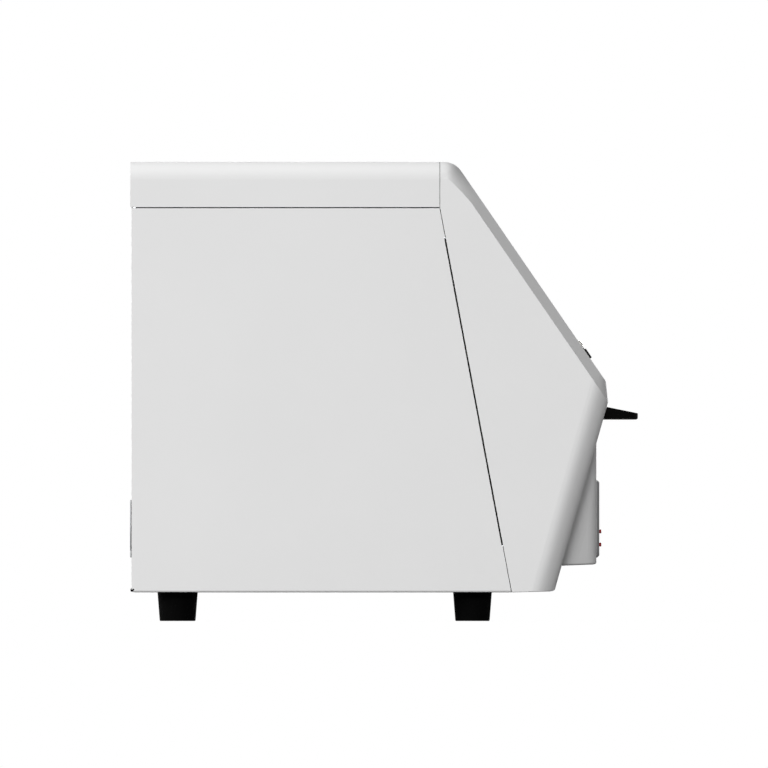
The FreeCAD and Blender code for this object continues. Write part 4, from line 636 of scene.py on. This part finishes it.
def screw(form, profile, put, recess):
    """Adds a screw: a turned profile whose first point is the rim of its outer face, and its cross recess."""
    rows = skin(form, turned(profile, put, screw_sides))
    form.faces.new(rows[-1])
    rim_radius, face = profile[0]
    arm = recess_arm * rim_radius
    half = recess_width * rim_radius
    corners = [
        (arm, -half), (arm, half), (half, half), (half, arm), (-half, arm), (-half, half),
        (-arm, half), (-arm, -half), (-half, -half), (-half, -arm), (half, -arm), (half, -half),
    ]
    narrowed = [(u * recess_taper, v * recess_taper) for u, v in corners]
    walls = skin(form, [
        [put(u, v, face) for u, v in corners],
        [put(u, v, face + recess) for u, v in narrowed],
    ])
    form.faces.new(walls[1])
    loops = []
    for row in (rows[0], walls[0]):
        loops += [form.edges.get((row[index - 1], row[index])) for index in range(len(row))]
    bmesh.ops.triangle_fill(form, use_beauty=True, edges=loops)


form = bmesh.new()
sheet = 0.0015
head_sink = 0.00002
rear_screw_end = 0.007
rear_recess = 0.0011
rear_profile = [(head_radius, head_sink), (screw_radius, sheet), (screw_radius, rear_screw_end)]
rear_screw_x = 0.27
rear_screw_heights = (0.06, 0.17, 0.29, 0.405)
for side in (-rear_screw_x, rear_screw_x):
    for height in rear_screw_heights:
        screw(form, rear_profile, lambda u, v, w: Vector((side + u, rear_face - w, height + v)), rear_recess)

guard_reach = 0.0022
ear_face = 0.0012
fan_head_edge = 0.0005
fan_head_rise = 0.0004
fan_screw_end = 0.0295
fan_recess = 0.0009
fan_profile = [
    (head_radius - fan_head_edge, -guard_reach), (head_radius, -guard_reach + fan_head_rise),
    (head_radius, -ear_face), (screw_radius, -ear_face), (screw_radius, fan_screw_end),
]
fan_screw_spread = 0.025
for across in (-fan_screw_spread, fan_screw_spread):
    for up in (-fan_screw_spread, fan_screw_spread):
        screw(form, fan_profile, lambda u, v, w: behind_fan(across + u, up + v, w), fan_recess)

pan_top = 0.0305
pocket = 0.015
foot_screw_radius = 0.0025
foot_head_radius = 0.005
foot_head_high = 0.004
foot_head_edge = 0.0008
foot_recess = 0.002
nut_radius = 0.0046
nut_top = pan_top + 0.0045
nut_chamfer = 0.0004
past_nut = 0.002
foot_profile = [
    (foot_head_radius - foot_head_edge, pocket - foot_head_high),
    (foot_head_radius, pocket - foot_head_high + foot_head_edge),
    (foot_head_radius, pocket), (foot_screw_radius, pocket), (foot_screw_radius, nut_top + past_nut),
]
foot_x = 0.225
foot_depths = (0.0445, 0.3412)


def about_foot(x, depth):
    """Gives the function that places points about one foot's axis."""
    return lambda u, v, height: Vector((x + u, rear_face - depth + v, height))


for x in (-foot_x, foot_x):
    for depth in foot_depths:
        screw(form, foot_profile, about_foot(x, depth), foot_recess)
        slab(form, circle(nut_radius, 6), about_foot(x, depth), pan_top, nut_top, nut_chamfer)
screws = add_piece("fixing_screws_plated", form, screw_zinc, "housing")
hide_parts("fixing_screws")


# Front shell
# One moulding with the slope, the nose, the undercut lower face and the control pod, painted to match the
# panels. It laps the side frames. Black foam strips, set back from the face, seal the seams on each side,
# and a bent dark grey lip closes the seam to the cover. The black of the strips and the dark grey of the
# lip are painted shade in the seams.

shell_paint, shader, place = new_finish("shell_paint")
spark_grain = place.noise(950.0, 3.0)
feed(shader, {
    "Base Color": place.noise(7.0, 3.0).mix(tone(221, 221, 221), tone(217, 217, 217)),
    "Roughness": 0.58 + 0.08 * place.noise(45.0, 4.0),
    "Normal": spark_grain.bump(0.00004, 0.3),
    "Specular IOR Level": 0.22,
})
dress(shell_paint, "front_shell", "drawer_front")

# Painted shade: the strips are black so that the seams show as dark, shaded gaps.
seam_shade_foam, shader, place = new_finish("seam_shade_foam")
foam_pores = place.noise(2200.0, 3.0, 0.7)
feed(shader, {
    "Base Color": foam_pores.mix(tone(16, 16, 16), tone(30, 30, 30)),
    "Roughness": 0.95,
    "Normal": foam_pores.bump(0.0002, 0.6),
    "Specular IOR Level": 0.1,
})
frame_face = 0.2785
strip_crown = 0.0006
strip_shares = (0.0, 0.15, 0.4, 0.6, 0.85, 1.0)
seam_top_depth = 0.308
seam_fall = 0.18646


def seam_depth(height):
    """Depth of the slanting seam between side panel and front shell at a height."""
    return seam_top_depth + (cover_seam_height - height) * seam_fall


def foam_strip(form, side, ends):
    """A strip with a rounded crown on the side frame. Each end has two edges, as (depth, height)."""
    rings = []
    for (depth0, height0), (depth1, height1) in ends:
        ring = []
        for share in strip_shares:
            crown = strip_crown * math.sin(math.pi * share) ** 0.5 if 0 < share < 1 else 0.0
            depth = depth0 + (depth1 - depth0) * share
            height = height0 + (height1 - height0) * share
            ring.append(Vector((side * (frame_face + crown), rear_face - depth, height)))
        rings.append(ring)
    closed_skin(form, rings)


thin_rear = -0.00034
wide_rear = -0.00134
strip_front = 0.00034
seam_runs = ((0.0312, 0.0749, thin_rear), (0.0754, 0.3826, wide_rear), (0.3831, 0.4122, thin_rear))
cover_strip_low = cover_seam_height - 0.0005
cover_strip_high = cover_seam_height + 0.0005
cover_strip_depths = (0.004, seam_top_depth - 0.0005)
form = bmesh.new()
for side in (-1, 1):
    for low, high, strip_rear in seam_runs:
        ends = []
        for height in (low, high):
            middle = seam_depth(height)
            ends.append(((middle + strip_rear, height), (middle + strip_front, height)))
        foam_strip(form, side, ends)
    ends = [((depth, cover_strip_low), (depth, cover_strip_high)) for depth in cover_strip_depths]
    foam_strip(form, side, ends)
add_piece("seam_strips", form, seam_shade_foam, "housing")

# Painted shade: the lip is dark grey, standing for the shade in the seam between cover and shell.
lip_shade_grey, shader, place = new_finish("lip_shade_grey")
lip_grain = place.noise(1400.0, 3.0)
feed(shader, {
    "Base Color": lip_grain.mix(tone(112, 112, 112), tone(128, 128, 128)),
    "Roughness": 0.8,
    "Normal": lip_grain.bump(0.0001, 0.5),
    "Specular IOR Level": 0.1,
})
cover_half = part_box("top_cover")[1].x
cover_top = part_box("top_cover")[1].z
bend_radius = 0.018
bend_steps = 10
lip_sink = 0.0002
lip_back = 0.0013
lip_half = 0.00032
lip_low = 0.4125


def lip_ring(side, angle, drop=0.0):
    """Section of the lip in the cover's front seam, where the cover faces an angle above level."""
    corners = ((lip_sink, -lip_half), (lip_sink, lip_half), (lip_back, lip_half), (lip_back, -lip_half))
    ring = []
    for sink, past in corners:
        reach = bend_radius - sink
        x = side * (cover_half - bend_radius + reach * math.cos(angle))
        z = cover_top - bend_radius + reach * math.sin(angle) - drop
        ring.append(Vector((x, rear_face - seam_top_depth - past, z)))
    return ring


bend = [math.pi / 2 * step / bend_steps for step in range(bend_steps + 1)]
straight = cover_top - bend_radius - lip_low
rings = [lip_ring(-1, 0.0, straight)] + [lip_ring(-1, angle) for angle in bend]
rings += [lip_ring(1, angle) for angle in reversed(bend)] + [lip_ring(1, 0.0, straight)]
form = bmesh.new()
closed_skin(form, rings)
add_piece("cover_lip", form, lip_shade_grey, "housing")


# Viewing window
# Smoked toughened glass let flush into the slope, in a black steel retainer, with a blackened sheet tunnel
# behind it that leads to a second pane on the chamber.

smoked_glass, shader, place = new_finish("smoked_glass")
feed(shader, {
    "Base Color": tone(150, 154, 156),
    "Roughness": 0.02 + 0.03 * place.noise(35.0, 3.0),
    "Transmission Weight": 1.0,
    "IOR": 1.5,
})
dress(smoked_glass, "window_glass", "inner_glass")

stove_black, shader, place = new_finish("stove_black")
enamel_grain = place.noise(850.0, 3.0)
feed(shader, {
    "Base Color": enamel_grain.mix(tone(20, 20, 21), tone(28, 28, 29)),
    "Roughness": 0.5 + 0.2 * enamel_grain,
    "Normal": enamel_grain.bump(0.00005, 0.4),
    "Specular IOR Level": 0.25,
})
dress(stove_black, "window_retainer", "window_tunnel")


# Power switch and pilot lamp
# A small black rocker switch snapped into the slope near the left edge, with moulded marks on both ends of
# its rocker, and a pale lamp above it whose crown is painted dark as shade, held by a nut under the shell.

dress(black_plastic, "switch_body", "switch_rocker")

mark_white, shader, place = new_finish("mark_white")
feed(shader, {
    "Base Color": place.noise(900.0, 2.0).mix(tone(205, 205, 203), tone(228, 228, 226)),
    "Roughness": 0.5,
})
slope_foot = Vector((0.0, -0.22145, 0.2395))
slope_up = Vector((0.0, 0.566768, 0.823878))
slope_out = Vector((0.0, -slope_up.z, slope_up.y))
switch_x = -0.215
switch_rise = 0.0344
rocker_tilt = math.radians(7.0)
rocker_pivot = -0.002
rocker_reach = 0.008
rocker_edge = 0.0018
rocker_dip = 0.001


def on_rocker(u, v, lift):
    """A point on the rocker's dished top: u across, v up the slope, lift above its surface."""
    level = rocker_edge - rocker_dip * (1 - abs(u) / rocker_reach) + lift - rocker_pivot
    across = u * math.cos(rocker_tilt) + level * math.sin(rocker_tilt)
    out = level * math.cos(rocker_tilt) - u * math.sin(rocker_tilt) + rocker_pivot
    return slope_foot + Vector((switch_x + across, 0, 0)) + slope_up * (switch_rise + v) + slope_out * out


mark_low = -0.00005
mark_high = 0.00005
mark_half = 0.0017
mark_place = 0.0043
bar_half = 0.0003
bar_corner = 0.0001
ring_inside = 0.0012
ring_sides = 28
weld = 0.000001
ring_section = [
    (mark_half, mark_low), (mark_half, mark_high), (ring_inside, mark_high), (ring_inside, mark_low),
    (mark_half, mark_low),
]
bar = oblong(-mark_place - bar_half, bar_half - mark_place, -mark_half, mark_half, bar_corner)
form = bmesh.new()
slab(form, bar, on_rocker, mark_low, mark_high)
skin(form, turned(ring_section, lambda u, v, level: on_rocker(mark_place + u, v, level), ring_sides))
bmesh.ops.remove_doubles(form, verts=form.verts, dist=weld)
add_piece("rocker_marks", form, mark_white, "power_rocker")

lamp_dome, shader, place = new_finish("lamp_dome")
pale_dome = place.noise(500.0, 2.0).mix(tone(206, 204, 197), tone(220, 218, 211))
over_slope = (place.axis("Z") - slope_foot.z) * slope_out.z + (place.axis("Y") - slope_foot.y) * slope_out.y
# Painted shade: the dome is darkened more than 1.7 mm above the slope, where its crown turns from the light.
crown_shade_start = 0.0017
crown_shade_fade = 0.0006
crown_shade = ((over_slope - crown_shade_start) / crown_shade_fade).clamp()
feed(shader, {
    "Base Color": crown_shade.mix(pale_dome, tone(88, 86, 82)),
    "Roughness": 0.16 + 0.1 * place.noise(700.0, 2.0),
    "Coat Weight": 0.5,
    "Coat Roughness": 0.06,
})
dress(lamp_dome, "pilot_lamp")


# Control panel
# A grey plate with chamfered edges bonded to the pod, a black display lens, two red indicator lamps with
# moulded crowns, and four rubber keys with pale printed signs. The board behind it carries them all.

plate_grey, shader, place = new_finish("plate_grey")
plate_grain = place.noise(1500.0, 3.0)
feed(shader, {
    "Base Color": place.noise(14.0, 3.0).mix(tone(127, 127, 128), tone(133, 133, 134)),
    "Roughness": 0.48 + 0.14 * plate_grain,
    "Normal": plate_grain.bump(0.00005, 0.4),
    "Specular IOR Level": 0.25,
})
dress(plate_grey, "control_plate")

lens_black, shader, place = new_finish("lens_black")
feed(shader, {
    "Base Color": place.noise(20.0, 2.0).mix(tone(9, 11, 13), tone(12, 14, 17)),
    "Roughness": 0.06 + 0.05 * place.noise(90.0, 3.0),
    "Coat Weight": 0.4,
    "Coat Roughness": 0.03,
})
dress(lens_black, "display_lens")

lamp_red, shader, place = new_finish("lamp_red")
feed(shader, {
    "Base Color": place.noise(900.0, 2.0).mix(tone(128, 2, 6), tone(150, 4, 9)),
    "Roughness": 0.24 + 0.1 * place.noise(600.0, 2.0),
    "Specular IOR Level": 0.06,
})
dress(lamp_red, "indicator_leds")

key_rubber, shader, place = new_finish("key_rubber")
key_grain = place.noise(1100.0, 3.0)
feed(shader, {
    "Base Color": key_grain.mix(tone(58, 59, 61), tone(66, 67, 69)),
    "Roughness": 0.62 + 0.16 * key_grain,
    "Normal": key_grain.bump(0.00008, 0.4),
    "Specular IOR Level": 0.25,
})
dress(key_rubber, "key_up", "key_down", "key_start", "key_stop")

lens_face = rear_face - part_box("display_lens")[0].y
key_face = rear_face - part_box("key_up")[0].y
print_thick = 0.00006


def on_panel(u, v, depth):
    """A point from its sideways place, its height and its depth in front of the rear panel."""
    return Vector((u, rear_face - depth, v))


lamp_low, lamp_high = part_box("indicator_leds")
lamp_x = (lamp_low.x + lamp_high.x) / 2
lamp_radius = (lamp_high.x - lamp_low.x) / 2
lamp_end = rear_face - lamp_low.y
crown_radius = lamp_radius + 0.0002
crown_root = lamp_end - 0.0011
crown_end = lamp_end + 0.0005
crown_round = 0.0004
crown_steps = 5
crown_sides = 32
profile = [(crown_radius, crown_root)]
for step in range(crown_steps + 1):
    angle = math.pi / 2 * step / crown_steps
    rim = crown_radius - crown_round * (1 - math.cos(angle))
    profile.append((rim, crown_end - crown_round * (1 - math.sin(angle))))
form = bmesh.new()
for height in (lamp_low.z + lamp_radius, lamp_high.z - lamp_radius):
    lathe(form, profile, lambda u, v, depth: on_panel(lamp_x + u, height + v, depth), crown_sides)
add_piece("lamp_crowns", form, lamp_red, "housing")


def key_sign(name, x, z, outline):
    """Prints a pale sign on a key."""
    form = bmesh.new()
    points = [(x + u, z + v) for u, v in outline]
    slab(form, points, on_panel, key_face - print_thick, key_face + print_thick)
    add_piece(f"sign_{name}", form, mark_white, f"key_{name}")


arrow_keys_x = -0.068
run_keys_x = -0.037
upper_keys_z = 0.119
lower_keys_z = 0.086
sign_half = 0.0034
sign_base = 0.0026
sign_tip = 0.0032
start_tip = 0.0034
stop_half = 0.0027
up_arrow = [(-sign_half, -sign_base), (sign_half, -sign_base), (0.0, sign_tip)]
down_arrow = [(-sign_half, sign_base), (0.0, -sign_tip), (sign_half, sign_base)]
start_arrow = [(-sign_base, -sign_half), (start_tip, 0.0), (-sign_base, sign_half)]
stop_square = [(u * stop_half, v * stop_half) for u, v in ((-1, -1), (1, -1), (1, 1), (-1, 1))]
key_sign("up", arrow_keys_x, upper_keys_z, up_arrow)
key_sign("down", arrow_keys_x, lower_keys_z, down_arrow)
key_sign("start", run_keys_x, upper_keys_z, start_arrow)
key_sign("stop", run_keys_x, lower_keys_z, stop_square)


def lit_finish(name, shade, strength):
    """A finish for what the display shows, lit from behind."""
    material, shader, place = new_finish(name)
    glow = place.noise(260.0, 2.0)
    dimmed = [level * 0.86 for level in shade]
    feed(shader, {
        "Base Color": tone(10, 12, 14),
        "Emission Color": glow.mix(tone(*shade), tone(*dimmed)),
        "Emission Strength": strength,
        "Roughness": 0.4,
    })
    return material


def strip(form, points, width):
    """Prints a line of even width along points on the display."""
    below = lens_face - print_thick
    above = lens_face + print_thick
    rings = []
    for index, (u, v) in enumerate(points):
        before = points[max(index - 1, 0)]
        after = points[min(index + 1, len(points) - 1)]
        run = math.hypot(after[0] - before[0], after[1] - before[1])
        across = ((before[1] - after[1]) / run * width / 2, (after[0] - before[0]) / run * width / 2)
        left = (u + across[0], v + across[1])
        right = (u - across[0], v - across[1])
        rings.append([
            on_panel(*left, below), on_panel(*left, above), on_panel(*right, above), on_panel(*right, below),
        ])
    closed_skin(form, rings)


graph_left = 0.0055
graph_right = 0.0575
graph_low = 0.0825
graph_high = 0.1225
grid_columns = 6
grid_rows = 5
grid_line = 0.00022
form = bmesh.new()
for column in range(grid_columns + 1):
    x = graph_left + (graph_right - graph_left) * column / grid_columns
    strip(form, [(x, graph_low), (x, graph_high)], grid_line)
for row in range(grid_rows + 1):
    z = graph_low + (graph_high - graph_low) * row / grid_rows
    strip(form, [(graph_left, z), (graph_right, z)], grid_line)
add_piece("display_grid", form, lit_finish("lit_grid", (62, 84, 96), 0.8), "housing")

heat_profile = ((0.0, 0.08), (0.18, 0.5), (0.5, 0.62), (0.66, 0.92), (0.76, 0.9), (1.0, 0.2))


def on_profile(share):
    """Height share of the heating curve, eased between its marks."""
    for (start, low), (end, high) in zip(heat_profile, heat_profile[1:]):
        if share <= end:
            step = (share - start) / (end - start)
            return low + (high - low) * step * step * (3 - 2 * step)
    return heat_profile[-1][1]


curve_steps = 60
curve_line = 0.0009
curve = []
for number in range(curve_steps + 1):
    share = number / curve_steps
    x = graph_left + (graph_right - graph_left) * share
    curve.append((x, graph_low + (graph_high - graph_low) * on_profile(share)))
form = bmesh.new()
strip(form, curve, curve_line)
add_piece("display_curve", form, lit_finish("lit_curve", (255, 168, 56), 1.0), "housing")

digit_segments = {"0": "abcdef", "2": "abdeg", "4": "bcfg", "5": "acdfg"}
segment_ends = {
    "a": ((0, 2), (1, 2)), "b": ((1, 2), (1, 1)), "c": ((1, 1), (1, 0)), "d": ((0, 0), (1, 0)),
    "e": ((0, 1), (0, 0)), "f": ((0, 2), (0, 1)), "g": ((0, 1), (1, 1)),
}
digit_wide = 0.0042
digit_half = 0.0047
digit_pitch = 0.0072
digits_left = 0.0635
segment_gap = 0.1
segment_line = 0.00105
readings = (("025", 0.1085), ("240", 0.0875))
form = bmesh.new()
for reading, z in readings:
    for column, digit in enumerate(reading):
        x = digits_left + digit_pitch * column
        for segment in digit_segments[digit]:
            (u0, v0), (u1, v1) = segment_ends[segment]
            start = (u0 + (u1 - u0) * segment_gap, v0 + (v1 - v0) * segment_gap)
            end = (u1 - (u1 - u0) * segment_gap, v1 - (v1 - v0) * segment_gap)
            ends = [(x + u * digit_wide, z + v * digit_half) for u, v in (start, end)]
            strip(form, ends, segment_line)
add_piece("display_digits", form, lit_finish("lit_digits", (206, 236, 240), 1.0), "housing")


# Drawer
# A painted hollow front with a black moulded wedge handle, a steel back plate with an insulated plug and a
# red silicone gasket, and a rack of chromed wire that carries the boards.

handle_black, shader, place = new_finish("handle_black")
handle_grain = place.noise(1000.0, 4.0, 0.6)
handle_dark = (0.0007, 0.0007, 0.0008, 1.0)
feed(shader, {
    "Base Color": place.noise(24.0, 3.0).mix(handle_dark, deep_black),
    "Roughness": 0.58 + 0.16 * handle_grain,
    "Normal": handle_grain.bump(0.00008, 0.4),
    "Specular IOR Level": 0.03,
})
dress(handle_black, "drawer_handle")

red_silicone, shader, place = new_finish("red_silicone")
silicone_bloom = place.noise(140.0, 4.0)
feed(shader, {
    "Base Color": silicone_bloom.mix(tone(148, 52, 38), tone(164, 68, 52)),
    "Roughness": 0.55 + 0.2 * silicone_bloom,
    "Normal": place.noise(900.0, 2.0).bump(0.00006, 0.4),
    "Specular IOR Level": 0.3,
})
dress(red_silicone, "drawer_gasket")

rack_wire, shader, place = new_finish("rack_wire")
straw_onset = 0.45
straw_gain = 2.0
straw = (place.noise(26.0, 3.0) - straw_onset).clamp() * straw_gain
feed(shader, {
    "Base Color": straw.clamp().mix(tone(206, 206, 206), tone(196, 182, 150)),
    "Metallic": 1.0,
    "Roughness": 0.14 + 0.16 * place.noise(150.0, 4.0),
})
dress(rack_wire, "drawer_rack")


# Ground and light
# A pale round floor that fades into a white surround. Soft square lamps stand behind the left side, high
# behind the oven, beside the camera on the left and to the right, so the front lies in half shade.

floor_radius = 3.0
floor_sides = 96
fade_start = 1.4
fade_end = 2.6
bounce_grey = (0.12, 0.12, 0.12, 1.0)
floor_pale = (0.9, 0.9, 0.9, 1.0)
pure_white = (1.0, 1.0, 1.0, 1.0)


def seen_directly(start):
    """1 for rays that show the surround itself: from the camera, a mirror or glass."""
    kinds = ("Is Camera Ray", "Is Glossy Ray", "Is Transmission Ray")
    camera_ray, glossy_ray, glass_ray = [start.node("LightPath", output=kind) for kind in kinds]
    return (camera_ray + glossy_ray + glass_ray).clamp()


floor_paint, shader, place = new_finish("floor_paint")
tree = floor_paint.node_tree
shown = seen_directly(place)
away = place.node("VectorMath", {"operation": "LENGTH"}, {0: place}, "Value")
fade = ((away - fade_start) / (fade_end - fade_start)).clamp()
feed(shader, {
    "Base Color": shown.mix(bounce_grey, floor_pale),
    "Roughness": 0.9,
    "Specular IOR Level": 0.0,
})
white = place.node("Emission", {}, {"Color": pure_white, "Strength": 1.0})
blend = place.node("MixShader", {}, {0: fade * shown, 1: Field(tree, shader.outputs[0]), 2: white})
tree.links.new(blend.socket, tree.nodes["Material Output"].inputs["Surface"])
form = bmesh.new()
form.faces.new([form.verts.new((u, v, 0.0)) for u, v in circle(floor_radius, floor_sides)])
mesh = bpy.data.meshes.new("floor")
form.to_mesh(mesh)
form.free()
mesh.materials.append(floor_paint)
floor = bpy.data.objects.new("floor", mesh)
bpy.context.scene.collection.objects.link(floor)

world = bpy.data.worlds.new("surround")
bpy.context.scene.world = world
world.use_nodes = True
tree = world.node_tree
start = Field(tree)
ambient_level = 0.08
ambient = start.node("Background", {}, {"Color": pure_white, "Strength": ambient_level})
surround = start.node("Background", {}, {"Color": pure_white, "Strength": 1.0})
blend = start.node("MixShader", {}, {0: seen_directly(start), 1: ambient, 2: surround})
tree.links.new(blend.socket, tree.nodes["World Output"].inputs["Surface"])

light_aim = Vector((0.0, 0.0, 0.23))


def lamp(name, direction, distance, size, level):
    """A soft square lamp that faces the oven. Level 1 shows a surface square to it about as its colour is."""
    data = bpy.data.lights.new(name, "AREA")
    data.size = size
    data.energy = level * math.pi**2 * distance**2
    light = bpy.data.objects.new(name, data)
    heading = Vector(direction).normalized()
    light.location = light_aim + heading * distance
    light.rotation_euler = (-heading).to_track_quat("-Z", "Y").to_euler()
    light.visible_camera = False
    bpy.context.scene.collection.objects.link(light)


lamp("key_lamp", (-0.53, 0.83, 0.19), 9.0, 3.0, 0.66)
lamp("high_lamp", (0.0, 0.7, 0.71), 5.0, 2.0, 0.72)
lamp("camera_lamp", (-1.0, -0.06, 0.15), 8.0, 0.8, 0.515)
lamp("right_lamp", (0.97, -0.2, 0.2), 5.0, 2.0, 0.85)


# Camera
# Level with the bench on the left side, far away behind a long lens, so that the floor is edge on and the
# side is seen without perspective.

lens = 1650.0
sensor = 36.0
picture_width = 0.768
side_plane = -0.25
aim_y = 0.00035
aim_z = 0.237
camera_height = 0.0002
camera_data = bpy.data.cameras.new("camera")
camera_data.lens = lens
camera_data.sensor_width = sensor
camera_data.clip_end = 60.0
camera = bpy.data.objects.new("camera", camera_data)
aim = Vector((side_plane, aim_y, aim_z))
camera.location = Vector((side_plane - picture_width * lens / sensor, aim.y, camera_height))
camera.rotation_euler = (aim - camera.location).to_track_quat("-Z", "Y").to_euler()
bpy.context.scene.collection.objects.link(camera)
bpy.context.scene.camera = camera
